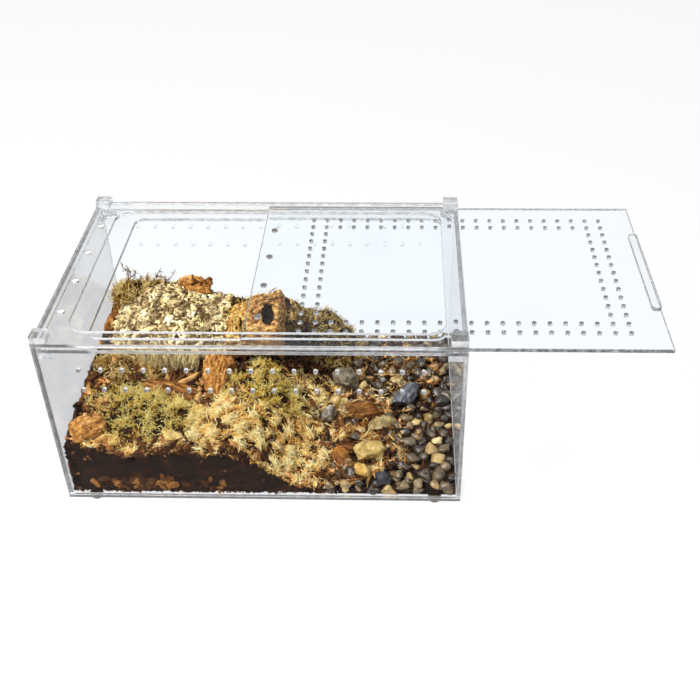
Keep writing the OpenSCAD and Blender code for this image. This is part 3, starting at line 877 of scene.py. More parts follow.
class Ground:
    """What lies open to the sky inside the case, for things to be dropped on."""

    tuft = 7.0
    pebble = 2.2

    def __init__(self, nodes: Sequence[str], seed: int) -> None:
        """Joins the nodes' triangles in one search tree.

        Args:
            nodes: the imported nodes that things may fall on.
            seed: starts the random numbers that all the landscape draws.
        """
        self.random = np.random.default_rng(seed)
        points: list[Vector] = []
        faces: list[tuple[int, ...]] = []
        self.owner: list[str] = []
        for node in nodes:
            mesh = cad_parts[node].data
            first = len(points)
            points += [v.co.copy() for v in mesh.vertices]
            faces += [tuple(first + i for i in p.vertices) for p in mesh.polygons]
            self.owner += [node] * len(mesh.polygons)
        self.tree = BVHTree.FromPolygons(points, faces)

    def below(self, x: float, y: float) -> tuple[Vector, Vector, str] | None:
        """Returns the open point under x, y, its normal and its node, or None."""
        point, normal, index, _ = self.tree.ray_cast(spot(x, y, 130), Vector((0, 0, -1)))
        return None if point is None else (point, normal, self.owner[index])

    def patch(self, ovals: Iterable[Oval]) -> Places:
        """Picks points on the soft ground inside ovals, thinning out to their rims.

        Args:
            ovals: each oval's middle x and y, half length, half width and number of tries.

        Returns:
            Each point that lies on soft ground, with its normal.
        """
        found = []
        for x, y, rx, ry, count in ovals:
            turns = self.random.uniform(0, math.tau, count)
            for turn, reach in zip(turns, self.random.uniform(0, 1, count)):
                away = reach**0.6
                hit = self.below(x + rx * away * math.cos(turn), y + ry * away * math.sin(turn))
                if hit is not None and hit[2] in SOFT_GROUND:
                    rise = self.pebble * MM if hit[2] == "gravel_bed" else 0.0
                    found.append((hit[0] + Vector((0, 0, rise)), hit[1]))
        return found

    def over(
        self, node: str, count: int, keep: Callable[[Vector, Vector], bool] | None = None
    ) -> Places:
        """Picks points spread evenly over a node's faces.

        Args:
            node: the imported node.
            count: how many points are tried.
            keep: tells from a point and its normal whether it is kept; by default, whether the
                face looks up.

        Returns:
            Each kept point and its normal.
        """
        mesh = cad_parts[node].data
        faces = list(mesh.polygons)
        areas = np.array([f.area for f in faces])
        picked = self.random.choice(len(faces), count, p=areas / areas.sum())
        found = []
        for index, u, v in zip(picked, *self.random.uniform(0, 1, (2, count))):
            face = faces[index]
            a, b, c = (mesh.vertices[i].co for i in face.vertices)
            if u + v > 1:
                u, v = 1 - u, 1 - v
            point = a + (b - a) * u + (c - a) * v
            if keep(point, face.normal) if keep else face.normal.z > 0.05:
                found.append((point, face.normal.copy()))
        return found

    def shell(self, middle: Vector, radii: Triple, count: int) -> Places:
        """Picks points on the upper part of an egg-shaped clump.

        Args:
            middle: its middle.
            radii: its half lengths.
            count: how many points are picked.

        Returns:
            Each point and its normal.
        """
        found = []
        for draw in self.random.normal(0, 1, (count, 3)):
            unit = Vector(draw.tolist()).normalized()
            unit.z = abs(unit.z) - 0.25
            out = Vector([u * r * MM for u, r in zip(unit, radii)])
            found.append((middle + out, Vector([u / r for u, r in zip(unit, radii)]).normalized()))
        return found

    def strands(self, places: Places, shapes: int, lie: Lie) -> list[Spot]:
        """Stands or lays one strand at each place, in tufts of a common height, tone and lie; where the
        tufts heave, the low ones are painted darker as the shade between the high ones.

        Args:
            places: points and normals.
            shapes: how many shapes there are to pick from.
            lie: how the strands lie.

        Returns:
            The strands' spots.
        """
        spots = []
        for point, normal in places:
            turn, tilt, grow, shade, roll = self.random.uniform(0, 1, 5)
            swell = noise.noise(point / (self.tuft * MM))
            if lie.heave and swell < -0.15 and roll < 0.75:
                continue
            turn += lie.flow * (2 * noise.noise(point / (2 * self.tuft * MM)) + 0.3 * turn - turn)
            # Painted shade: the tint follows the same noise as the heave, so low tufts come out darker
            # and high ones lighter.
            shade = min(1.0, max(0.0, 0.6 * shade + 0.22 + 1.1 * swell))
            point = point + normal * (swell * lie.heave - lie.sink) * MM
            side = Vector((1, 0, 0)) - normal * normal.x
            side = (side if side.length > 0.1 else normal.orthogonal()).normalized()
            side.rotate(Matrix.Rotation(turn * math.tau, 3, normal))
            angle = math.radians(between(lie.lean, tilt))
            direction = normal * math.cos(angle) + side * math.sin(angle)
            place = aimed(point, direction, roll * math.tau, between(lie.size, grow))
            pick = int(self.random.integers(shapes))
            spots.append(Spot(place, pick, between(lie.tint, shade)))
        return spots

    def cover(
        self, name: str, shapes: Sequence[Mesh], places: Places, lie: Lie, dress: tuple[Natural, str]
    ) -> None:
        """Lays a shape at each place and settles them all as one piece, in a finish."""
        spots = self.strands(places, len(shapes), lie)
        settle(name, strewn(name, shapes, spots, lie.fade), *dress)


# ---------------------------------------------------------------- sub-assemblies


@dataclass
class AcrylicCase:
    """The case, its frames, corner pieces, feet and magnets, and the sliding lid."""

    bevel: float = 0.3
    clearance: float = 0.03
    longest_round: float = 1.2

    def polish(self, node: str, axis: int, face: Acrylic, slot: str, body: str = CASE) -> None:
        """Rebuilds a packed sheet with clear broad faces, cut edges and broken corners.

        Args:
            node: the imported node.
            axis: 0, 1 or 2, the axis that its broad faces look along.
            face: the finish of its broad faces.
            slot: the record's material slot.
            body: the body that it rides on.
        """
        form = solid_copy(node)
        ops.dissolve_limit(form, angle_limit=0.02, verts=form.verts, edges=form.edges)
        long_edges = [e for e in form.edges if e.calc_length() > self.longest_round * MM]
        sharp = [e for e in long_edges if len(e.link_faces) == 2 and e.calc_face_angle() > 1.0]
        shape = {"offset_type": "OFFSET", "affect": "EDGES", "segments": 2, "profile": 0.5}
        ops.bevel(form, geom=sharp, offset=self.bevel * MM, material=-1, **shape)
        form.normal_update()
        for vert in form.verts:
            vert.co -= vert.normal * self.clearance * MM
        for polygon in form.faces:
            polygon.material_index = int(abs(polygon.normal[axis]) < 0.95)
        edge = LID_EDGE if body == LID else CUT_EDGE
        settle(f"{node}_sheet", form, (face, edge), slot, [node], body, smooth=False)

    def build(self) -> None:
        """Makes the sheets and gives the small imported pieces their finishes."""
        for node, axis, face in (
            ("base_panel", 2, SHEET), ("front_wall", 1, SHEET), ("right_wall", 0, SHEET),
            ("lower_frame", 2, SHEET), ("upper_frame", 2, SHEET),
            ("left_wall", 0, REFLECTION_GREY_SHEET), ("back_wall", 1, COOL_SHEET),
        ):
            self.polish(node, axis, face, "clear_acrylic")
        self.polish("lid", 2, COOL_SHEET, "clear_acrylic", LID)
        self.polish("lid_handle", 2, SHEET, "acrylic_block", LID)
        magnets = {"frame_magnets": BRIGHT_MAGNET, "lid_magnets": DARK_MAGNET}
        for node, piece in list(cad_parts.items()):
            if node.startswith(("gusset", "block")):
                self.polish(node, 2, SHEET, "acrylic_block")
            elif node.startswith("foot") or node in magnets:
                piece.data.materials.clear()
                piece.data.materials.append(magnets.get(node, BUMPER).material())
                log.info("%s: packed node in %s", node, piece.data.materials[0].name)


@dataclass
class Soil:
    """The bed of soil behind the front sheet, with crumbs and clods along its open edges."""

    lump_size: float = 6.0
    depth: float = 0.8
    edge: float = 1.5
    torn_reach: float = 9.0
    set_back: float = 0.9
    longest_edge: float = 2.4
    crumbs: int = 3800
    low_crumbs: int = 900
    clods: int = 130

    def build(self, ground: Ground) -> None:
        """Models the bed, its crumbs and its clods.

        Args:
            ground: what things lie on, and the random numbers.
        """
        form = solid_copy("soil_bed", self.longest_edge, 7)
        low = inner_box()[0]
        roughen(form, self.depth, self.lump_size, 3)
        for vert in form.verts:
            ragged = noise.fractal(vert.co / (4 * MM), 0.8, 2.0, 4)
            side, front, rise = vert.co.x - low.x, vert.co.y - low.y, vert.co.z - low.z
            if side < self.edge * MM:
                near = max(0.0, 1 - front / (self.torn_reach * MM))
                vert.co.x += near * max(0.0, 2.6 + 5.0 * ragged) * MM
            if front < self.edge * MM:
                vert.co.y += self.set_back * MM
            if rise < self.edge * MM and min(side, front) < 2.5 * MM:
                vert.co.z += max(0.0, 1.2 + 4.5 * ragged) * MM
            vert.co.x = max(vert.co.x, low.x + 0.2 * MM)
            vert.co.y = max(vert.co.y, low.y + 0.3 * MM)
            vert.co.z = max(vert.co.z, low.z + 0.05 * MM)
        settle("soil", form, SOIL, "soil", ["soil_bed"])
        shapes = [lump(1, (0.9, 0.7, 0.6), 0.9, i) for i in range(4)]
        places = ground.over("soil_bed", self.crumbs, level)
        places += ground.over("soil_bed", self.crumbs // 2, lambda p, n: n.y < -0.9)
        reach, rise, foot = ground.random.uniform(0, 1, (3, self.low_crumbs))
        forward = Vector((0, -1, 0))
        corner = zip(4.2 + 6 * reach, 3.7 + 14 * foot**2, 4 + 40 * rise)
        along = zip(4 + 200 * reach, 3.7 + 6 * foot, 3.4 + 2.6 * rise)
        places += [(spot(*place), forward) for place in (*corner, *along)]
        ground.cover("soil_crumbs", shapes, places, Lie((0, 90), (0.4, 1.6)), (CRUMB, "soil"))
        shapes = [lump(2, (3.6, 1.4, 2.6 + 0.3 * i), 0.7, 10 + i, 3) for i in range(4)]
        across = ground.random.gamma(4, 12, self.clods) + 8
        up = ground.random.gamma(3, 3, self.clods) + 5
        places = [(spot(x, 4.6, z), forward) for x, z in zip(across, up) if z < 18]
        lie = Lie((70, 90), (0.6, 1.3), (0.45, 1.0))
        ground.cover("soil_clods", shapes, places, lie, (CRUMB, "soil"))


@dataclass
class Moss:
    """One cushion of dried moss: a mound under a coat of leafy sprigs and curled threads, the mound
    painted near-black as the shade deep in the cushion.

    height is the highest that its mound and the feet of its sprigs reach. relief is the depth and
    the size of its lumps.
    """

    node: str
    finish: Natural
    sprigs: int
    tint: Pair = (0.1, 1.0)
    size: Pair = (0.7, 1.5)
    height: float = 80.0
    longest_edge: float = 2.6
    relief: Pair = (2.0, 6.0)

    def build(self, ground: Ground) -> None:
        """Models the mound and its coat.

        Args:
            ground: what things lie on, and the random numbers.
        """
        form = solid_copy(self.node, self.longest_edge)
        roughen(form, *self.relief, len(self.node))
        top = self.height * MM + CORNER.z
        for vert in form.verts:
            vert.co.z = min(vert.co.z, top)
        settle(f"{self.node}_mound", form, MOULD_AND_SHADE, "moss", [self.node])
        shapes = [moss_sprig(i) for i in range(5)]
        shapes += [thread(5 + i, 0.8, 3, 1.3, 30 + i) for i in range(4)]
        places = ground.over(self.node, self.sprigs)
        places = [(Vector((p.x, p.y, min(p.z, top))), n) for p, n in places]
        lie = Lie((15, 95), self.size, self.tint, sink=0.4, heave=5.0, fade=0.7)
        ground.cover(f"{self.node}_sprigs", shapes, places, lie, (self.finish, "moss"))


@dataclass
class StrawBlanket:
    """Shredded sphagnum over the bank, with coconut fibre worked in and strewn about.

    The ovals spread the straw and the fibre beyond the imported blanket. relief is the depth and the
    size of its lumps.
    """

    ribbons: int = 8200
    threads: int = 3600
    fibres: int = 3000
    longest_edge: float = 2.6
    relief: Pair = (2.4, 9.0)
    straw_ovals: tuple[Oval, ...] = (
        (186, 106, 24, 24, 500), (215, 60, 22, 30, 260), (235, 40, 26, 30, 150),
        (100, 60, 30, 12, 160), (245, 130, 40, 50, 90), (150, 8, 60, 6, 300),
        (70, 8, 60, 6, 200), (92, 20, 26, 8, 420), (108, 36, 18, 22, 420),
    )
    fibre_ovals: tuple[Oval, ...] = (
        (222, 50, 26, 26, 900), (70, 10, 60, 8, 700), (200, 30, 16, 24, 500),
        (118, 60, 60, 60, 1100), (190, 110, 40, 40, 700), (240, 90, 50, 90, 300),
    )

    def build(self, ground: Ground) -> None:
        """Models the mat and its layers of thread.

        Args:
            ground: what things lie on, and the random numbers.
        """
        form = solid_copy("moss_straw", self.longest_edge)
        roughen(form, *self.relief, 11)
        # The mat is painted near-black as the shade under the threads.
        settle("straw_mat", form, MOULD_AND_SHADE, "moss_fibre", ["moss_straw"])
        flat = [thread(6 + 1.1 * i, 1.9, 2, 0.5 + 0.15 * i, i) for i in range(7)]
        curly = [thread(8 + 1.2 * i, 1.0, 3, 1.6 + 0.2 * i, 10 + i) for i in range(5)]
        thin = [thread(7 + 2 * i, 0.6, 4, 1.7, 20 + i) for i in range(5)]
        straw = {"size": (0.4, 1.0), "tint": (0.05, 1.0), "sink": -0.5, "heave": 5.0}
        straw |= {"flow": 0.7, "fade": 0.5}
        coir = Lie((45, 95), (0.5, 1.0), sink=-0.2, fade=0.2)
        for name, shapes, count, ovals, lie, finish in (
            ("straw_ribbons", flat, self.ribbons, self.straw_ovals, Lie((55, 95), **straw), STRAW),
            ("straw_threads", curly, self.threads, self.straw_ovals, Lie((30, 90), **straw), STRAW),
            ("coconut_fibres", thin, self.fibres, self.fibre_ovals, coir, COIR),
        ):
            places = ground.over("moss_straw", count) + ground.patch(ovals)
            ground.cover(name, shapes, places, lie, (finish, "moss_fibre"))


@dataclass
class GroundCover:
    """Bark shreds, chips and thin brown moss that cover the soil between the cushions."""

    shreds: int = 5200
    tufts: int = 3600
    shred_ovals: tuple[Oval, ...] = (
        (60, 12, 50, 9, 600), (150, 10, 60, 8, 400), (20, 60, 16, 50, 300),
        (225, 60, 34, 55, 1000), (250, 140, 40, 50, 400),
    )
    chip_ovals: tuple[Oval, ...] = (
        (112, 66, 26, 14, 110), (60, 95, 50, 14, 70), (16, 60, 12, 50, 70),
        (150, 10, 60, 7, 50), (120, 95, 30, 14, 40), (60, 10, 55, 7, 70),
        (215, 50, 30, 30, 40), (180, 70, 30, 40, 30),
    )

    def build(self, ground: Ground) -> None:
        """Models the cover and the larger chips.

        Args:
            ground: what things lie on, and the random numbers.
        """
        shapes = [lump(1, (0.7 + 0.15 * i, 0.9, 2.2 + 0.5 * i), 0.9, 40 + i) for i in range(5)]
        places = ground.over("soil_bed", self.shreds, level) + ground.patch(self.shred_ovals)
        lie = Lie((45, 100), (0.5, 1.3), sink=-0.3)
        ground.cover("bark_shreds", shapes, places, lie, (SHREDS, "bark"))
        shapes = [moss_sprig(i) for i in range(3)] + [thread(7, 0.6, 3, 1.4, i) for i in range(3)]
        places = ground.over("soil_bed", self.tufts, level)
        lie = Lie((20, 95), (0.5, 1.1), (0.0, 0.85), sink=0.2, fade=0.3)
        ground.cover("thin_moss", shapes, places, lie, (BROWN_MOSS, "moss"))
        shapes = [lump(2, (1.3 + 0.3 * i, 2.8, 6.0 + 1.2 * i), 0.9, 50 + i, 5) for i in range(5)]
        lie = Lie((60, 100), (0.4, 1.3), (0.1, 0.95), sink=-0.6)
        ground.cover("bark_chips", shapes, ground.patch(self.chip_ovals), lie, (SHREDS, "bark"))


@dataclass
class GravelBed:
    """River gravel in two layers on dark fines, from the foot of the bank to the right wall.

    jitter is how far a stone may lie from its place along x and y, and tone the middle and the
    spread of the stones' tint.
    """

    pitch: float = 11.2
    layers: Pair = (3.4, 8.2)
    jitter: Pair = (1.8, 1.6)
    half_length: float = 8.4
    scales: Pair = (0.65, 1.3)
    tone: Pair = (0.42, 0.26)
    fines_height: float = 5.5

    def build(self, ground: Ground) -> None:
        """Models the fines and the stones.

        Args:
            ground: what things lie on, and the random numbers.
        """
        form = solid_copy("gravel_bed")
        low, high = inner_box()
        for vert in form.verts:
            vert.co.z = min(vert.co.z, low.z + self.fines_height * MM)
            vert.co.y = min(max(vert.co.y, low.y + 2 * MM), high.y - 2 * MM)
            vert.co.x = min(vert.co.x, high.x - 0.2 * MM)
        ops.remove_doubles(form, verts=form.verts, dist=0.01 * MM)
        ops.dissolve_degenerate(form, edges=form.edges, dist=0.01 * MM)
        settle("gravel_fines", form, SOIL, "gravel", ["gravel_bed"], smooth=False)
        sizes = [(self.half_length - 0.5 * i, 5.2 + 0.1 * i, 3.8 + 0.1 * i) for i in range(8)]
        shapes = [lump(2, size, 0.8, 60 + i, 9) for i, size in enumerate(sizes)]
        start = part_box("gravel_bed")[0]
        x0, x1 = (start.x - CORNER.x) / MM - 6, (high.x - CORNER.x) / MM - 3.6
        y0, y1 = (low.y - CORNER.y) / MM + 3.8, (high.y - CORNER.y) / MM - 3.8
        rows = int((y1 - y0) / (self.pitch * 0.87))
        columns = int((x1 - x0) / self.pitch) + 1
        draw = ground.random.uniform
        side, ahead = self.jitter
        spots = []
        for height, row, column in product(self.layers, range(rows + 1), range(columns + 1)):
            x = x0 + self.pitch * (column + 0.5 * (row % 2)) + draw(-side, side)
            y = y0 + (y1 - y0) * row / rows + draw(-ahead, ahead)
            hit = ground.below(min(x, x1), y)
            if x > x1 + 5 or (hit is not None and hit[2] in LYING):
                continue
            if hit is not None and hit[0].z > spot(0, 0, height + 8).z:
                continue
            tilt = Matrix.Rotation(draw(-0.6, 0.6), 4, "X")
            turn = Matrix.Rotation(draw(0, math.tau), 4, "Z")
            size = draw(*self.scales)
            lift = 3 + height + draw(-0.8, 1.2)
            place = Matrix.Translation(spot(min(x, x1), y, lift)) @ turn @ tilt
            place @= Matrix.Diagonal((size, size, size, 1))
            tint = float(np.clip(ground.random.normal(*self.tone), 0, 1))
            spots.append(Spot(place, int(ground.random.integers(len(shapes))), tint))
        settle("gravel_stones", strewn("gravel_stones", shapes, spots), GRAVEL, "gravel")


@dataclass
class CorkHide:
    """The arched slab of cork, crusted with lichen scales, and its frayed front foot.

    fall is the share of its height that the slab's left end loses, and relief the depth and the
    size of its cracks.
    """

    scales: int = 5200
    frays: int = 260
    fall: float = 0.33
    longest_edge: float = 2.2
    relief: Pair = (2.0, 6.0)

    def slope(self, point: Vector) -> Vector:
        """Lowers a point of the slab towards the slab's left end.

        Args:
            point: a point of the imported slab.

        Returns:
            Where it lies on the lowered one.
        """
        low, high = node_box("cork_hide")
        away = max(0.0, 1 - (point.x - low.x) / (0.5 * (high.x - low.x)))
        return Vector((point.x, point.y, point.z - self.fall * away**1.3 * (point.z - low.z)))

    def build(self, ground: Ground) -> None:
        """Models the slab, its crust and its frayed foot.

        Args:
            ground: what things lie on, and the random numbers.
        """
        form = solid_copy("cork_hide", self.longest_edge)
        for vert in form.verts:
            vert.co = self.slope(vert.co)
        roughen(form, *self.relief, 5, ridged=True)
        settle("cork_hide_slab", form, CORK_SKIN, "lichen_bark", ["cork_hide"])
        low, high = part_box("cork_hide")
        middle = Vector((0, (low.y + high.y) / 2 - 3 * MM, low.z + 6 * MM))

        def outside(point: Vector, normal: Vector) -> bool:
            """Tells whether a face looks away from the slab's hollow."""
            out = Vector((0, point.y - middle.y, point.z - middle.z))
            return out.dot(normal) > 0.6 * out.length

        shapes = [scale(1.6 + 0.25 * i, 1.1 + 0.1 * i, 0.8, 80 + i) for i in range(7)]
        places = [(self.slope(p), n) for p, n in ground.over("cork_hide", self.scales, outside)]
        lie = Lie((0, 34), (0.4, 1.1), (0.1, 1.0), sink=-0.8)
        ground.cover("lichen_crust", shapes, places, lie, (LICHEN, "lichen_bark"))
        threads = [thread(11 + 2 * i, 1.0, 3, 0.8, 50 + i) for i in range(4)]
        spots = []
        for number in range(self.frays):
            x, z, fan, down, shade = ground.random.uniform(0, 1, 5)
            foot = spot(40 + 50 * x, 100.5 - 2 * down, 50 + 12 * z)
            place = aimed(foot, Vector((fan - 0.5, -0.35, -0.9)), number)
            spots.append(Spot(place, number % len(threads), 0.35 + 0.6 * shade))
        settle("frayed_foot", strewn("frayed_foot", threads, spots), LICHEN, "lichen_bark")


@dataclass
class LooseWood:
    """The hollow log and the separate pieces of bark and wood."""

    crumbs: int = 420
    log_moss: int = 420
    knot_hole: Triple = (147, 111, 92)
    hole_radii: Triple = (5.5, 16, 7)
    tear_radii: Triple = (1.1, 14, 7)
    longest_edge: float = 1.5
    log_edge: float = 1.7

    def sag(self, point: Vector) -> Vector:
        """Lowers a point at the log's left end, and draws it in at the right end.

        Args:
            point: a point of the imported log.

        Returns:
            Where it lies on the sagging one.
        """
        low = node_box("cork_log")[0]
        along = (point.x - low.x) / MM
        above = max(0.0, point.z - low.z - 20 * MM)
        drop = 0.55 * max(0.0, 1 - along / 26) * above
        return Vector((point.x - 0.6 * max(0.0, along - 38) * MM, point.y, point.z - drop))

    def shape_log(self) -> BMesh:
        """Returns the log, torn and softened, with its ends drawn in."""
        form = solid_copy("cork_log", self.log_edge)
        roughen(form, 4.0, 20.0, 4)
        soften(form, 2)
        for vert in form.verts:
            vert.co = self.sag(vert.co)
        return form

    def shape_knot(self) -> BMesh:
        """Returns the knot of wood, worn round and drawn to a point behind its left side."""
        low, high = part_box("wood_knot")
        form = solid_copy("wood_knot", self.longest_edge)
        soften(form, 6)
        for vert in form.verts:
            rise = max(0.0, (vert.co.z - low.z) / (high.z - low.z)) ** 1.5
            vert.co.x += (low.x + 0.35 * (high.x - low.x) - vert.co.x) * 0.85 * rise
            vert.co.y += (high.y - 3 * MM - vert.co.y) * (0.4 + 0.4 * rise)
        return form

    def shape(self, node: str) -> BMesh:
        """Makes the plain form of one piece, before its bark is roughened.

        Args:
            node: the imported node.

        Returns:
            The form.
        """
        if node == "cork_log":
            return self.shape_log()
        if node == "wood_knot":
            return self.shape_knot()
        form = solid_copy(node, self.longest_edge)
        soften(form, 1)
        return form

    def finish_pieces(self) -> None:
        """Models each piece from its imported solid."""
        cork = "341C0C 7C5028 B48246 DCB068 F6DEA2"
        torn = "321A0A 885729 B07A3C C8924A E4C890"
        old = "26140B 54331A 7C5028 A87438 D2A868"
        dull = "3A1E0E 5C3819 7C5028 96652F C8924E"
        for number, (node, slot, codes, depth, size, drawn, turn) in enumerate((
            ("cork_log", "cork", cork, 2.6, 6.0, 1.7, (90.0, 0.0, 4.0)),
            ("bark_slab", "cork", torn, 3.2, 8.0, 1.7, (0.0, -34.0, 78.0)),
            ("wood_knot", "cork", torn, 2.6, 3.5, 1.7, (8.0, 0.0, 20.0)),
            ("bark_chunk", "bark", torn, 1.6, 6.0, 1.7, (0.0, -6.0, 30.0)),
            ("bark_lump", "bark", old, 1.4, 5.0, 4.0, (0.0, 0.0, 80.0)),
            ("bark_flake", "bark", old, 1.4, 5.0, 4.0, (0.0, 5.0, -16.0)),
            ("wood_block", "bark", dull, 0.8, 5.0, 4.0, (0.0, 12.0, 28.0)),
        )):
            form = self.shape(node)
            soften(form, 2)
            roughen(form, depth, size, number, (3.0, 1.0, 1.0), turn, ridged=True)
            roughen(form, 0.35 * depth, 2.4, 20 + number)
            if node == "cork_log":
                hollow(form, spot(*self.knot_hole), self.hole_radii, 9.0)
                for arc in range(4):
                    tear = spot(118 + 3.4 * arc, 107, 86 - 1.5 * arc)
                    hollow(form, tear, self.tear_radii, 3.0)
            if node == "bark_slab":
                low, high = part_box(node)
                for vert in form.verts:
                    rise = (vert.co.z - low.z) / (high.z - low.z)
                    vert.co.x += ((low.x + high.x) / 2 - vert.co.x) * 0.5 * (1 - rise)
            finish = bark_finish(f"{node}_bark", codes, turn, drawn)
            # The second finish paints the log's pit and tears dark, as their shade.
            settle(f"{node}_wood", form, (finish, MOULD_AND_SHADE), slot, [node])
        form = solid_copy("twig_slice", self.longest_edge)
        roughen(form, 0.4, 3.0, 9)
        settle("twig_slice_wood", form, SAWN_WOOD, "pale_wood", ["twig_slice"])

    def build(self, ground: Ground) -> None:
        """Models the pieces, the crumbs on the knot and the log, and the moss on the log.

        Args:
            ground: what things lie on, and the random numbers.
        """
        self.finish_pieces()
        shapes = [lump(1, (0.9 + 0.2 * i, 1.1, 1.9 + 0.3 * i), 1.0, 90 + i) for i in range(5)]
        low, high = node_box("wood_knot")
        places = [
            (p + Vector((0, 0.5 * (high.y - p.y), 0)), n)
            for p, n in ground.over("wood_knot", self.crumbs)
            if p.z < low.z + 0.75 * (high.z - low.z) or p.x < low.x + 0.5 * (high.x - low.x)
        ]
        on_log = ground.over("cork_log", self.crumbs, lambda p, n: n.z > 0.2)
        hole = spot(*self.knot_hole)
        places += [(self.sag(p), n) for p, n in on_log if (p - hole).length > 12 * MM]
        places += ground.over("bark_slab", self.crumbs // 4)
        places += ground.over("bark_chunk", self.crumbs // 5)
        lie = Lie((10, 90), (0.5, 1.5), (0.4, 1.0), sink=1.0)
        ground.cover("cork_crumbs", shapes, places, lie, (SHREDS, "cork"))
        tufts = [moss_sprig(i) for i in range(4)]
        log_end, hide_start = spot(134, 0, 0).x, spot(100, 0, 0).x
        on_log = ground.over(
            "cork_log", 4 * self.log_moss, lambda p, n: n.z > 0.4 and p.x < log_end
        )
        on_hide = ground.over(
            "cork_hide", self.log_moss, lambda p, n: n.z > 0.7 and p.x > hide_start
        )
        places = [(self.sag(p), n) for p, n in on_log] + on_hide
        lie = Lie((20, 90), (0.6, 1.2), (0.3, 1.0), sink=0.4, heave=2.0, fade=0.5)
        ground.cover("log_moss", tufts, places, lie, (MOSS, "moss"))


@dataclass
class Stones:
    """The seven large stones, worn but still angular."""

    sides: int = 9
    keep: float = 0.6
    longest_edge: float = 1.3

    def build(self) -> None:
        """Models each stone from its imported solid."""
        for number, (node, (slot, finish)) in enumerate(STONES.items()):
            form = solid_copy(node, self.longest_edge)
            chip(form, self.sides, self.keep, number + 3)
            soften(form, 2)
            roughen(form, 0.7, 8.0, number, ridged=True)
            roughen(form, 0.4, 2.5, 30 + number)
            settle(f"{node}_rock", form, finish, slot, [node])


@dataclass
class CornerGrowth:
    """The clump of moss on the hide's left end, its dry sprigs, and the sprig on the log."""

    clump: Triple = (36, 160, 82)
    radii: Triple = (25, 14, 9)
    coat: int = 1900
    step: float = 4.0
    fork_chance: float = 0.55

    def branch(
        self,
        ground: Ground,
        start: Vector,
        heading: Vector,
        length: float,
        leaves: list[Spot],
        stems: list[Spot],
        forks: int = 0,
    ) -> None:
        """Grows one branch and its side shoots.

        Args:
            ground: gives the random numbers.
            start: where the branch begins.
            heading: where it points.
            length: its length.
            leaves: gets three leafy tufts at each step.
            stems: gets a bare stem at each step.
            forks: how many forks lie below it.
        """
        point, direction = start.copy(), heading.normalized()

        def stray(most: float) -> Vector:
            """Draws a random offset with a most along each axis."""
            return Vector(ground.random.uniform(-most, most, 3).tolist())

        for number in range(int(length / self.step)):
            direction = (direction + stray(0.6) + 0.5 * heading.normalized()).normalized()
            stems.append(Spot(aimed(point + direction * self.step * MM / 2, direction), 0, 0.4))
            for _ in range(3):
                out = direction + stray(1.0)
                tint = ground.random.uniform(0.15, 0.8)
                leaves.append(Spot(aimed(point, out, number, 0.55), number % 6, tint))
            if forks < 2 and ground.random.uniform() < self.fork_chance:
                side = direction + stray(1.1)
                self.branch(ground, point, side, length * 0.5, leaves, stems, forks + 1)
            point = point + direction * self.step * MM

    def build(self, ground: Ground) -> None:
        """Models the clump and the sprigs.

        Args:
            ground: what things lie on, and the random numbers.
        """
        form = bmesh.new()
        ops.create_icosphere(form, subdivisions=4, radius=1.0)
        ops.scale(form, verts=form.verts, vec=[r * 0.86 * MM for r in self.radii])
        ops.translate(form, verts=form.verts, vec=spot(*self.clump))
        roughen(form, 2.6, 6.0, 2)
        # The clump's mound is painted near-black as the shade under its coat.
        settle("corner_clump", form, MOULD_AND_SHADE, "moss")
        sprigs = [moss_sprig(i) for i in range(6)]
        curls = [thread(7, 0.7, 3, 1.4, i) for i in range(3)]
        places = ground.shell(spot(*self.clump), self.radii, self.coat)
        lie = Lie((35, 120), (0.6, 1.2), sink=0.5, heave=4.0, fade=0.4)
        ground.cover("corner_clump_coat", sprigs + curls, places, lie, (BROWN_MOSS, "moss"))
        stems: list[Spot] = []
        for name, dress, forks, starts in (
            ("dry_sprigs", (BROWN_MOSS, "bark", ["sprigs"]), 0, (
                (22, 160, 82, (0.12, 0.0, 1), 28), (20, 158, 80, (-0.3, -0.3, 1), 14),
                (26, 158, 84, (0.4, 0.0, 1), 14), (36, 160, 88, (0.4, 0.0, 1), 12),
                (46, 160, 90, (0.5, 0.1, 1), 16), (52, 158, 92, (0.9, -0.1, 0.5), 18),
                (56, 154, 94, (1.0, -0.1, 0.3), 20),
            )),
            ("log_sprig", (STRAW, "moss"), 1, (
                (124, 128, 95, (0.1, -0.3, 0.7), 10), (140, 128, 96, (0.7, -0.2, 0.7), 16),
                (150, 124, 96, (0.9, -0.3, -0.3), 14), (147, 122, 97, (0.7, -0.4, 0.3), 12),
            )),
        ):
            leaves: list[Spot] = []
            for x, y, z, heading, length in starts:
                self.branch(ground, spot(x, y, z), Vector(heading), length, leaves, stems, forks)
            settle(name, strewn(name, sprigs, leaves, fade=0.3), *dress)
        stem = [thread(5.0, 1.2, 1, 0.1, 1)]
        settle("sprig_stems", strewn("sprig_stems", stem, stems), SHREDS, "bark")


# ---------------------------------------------------------------- the studio


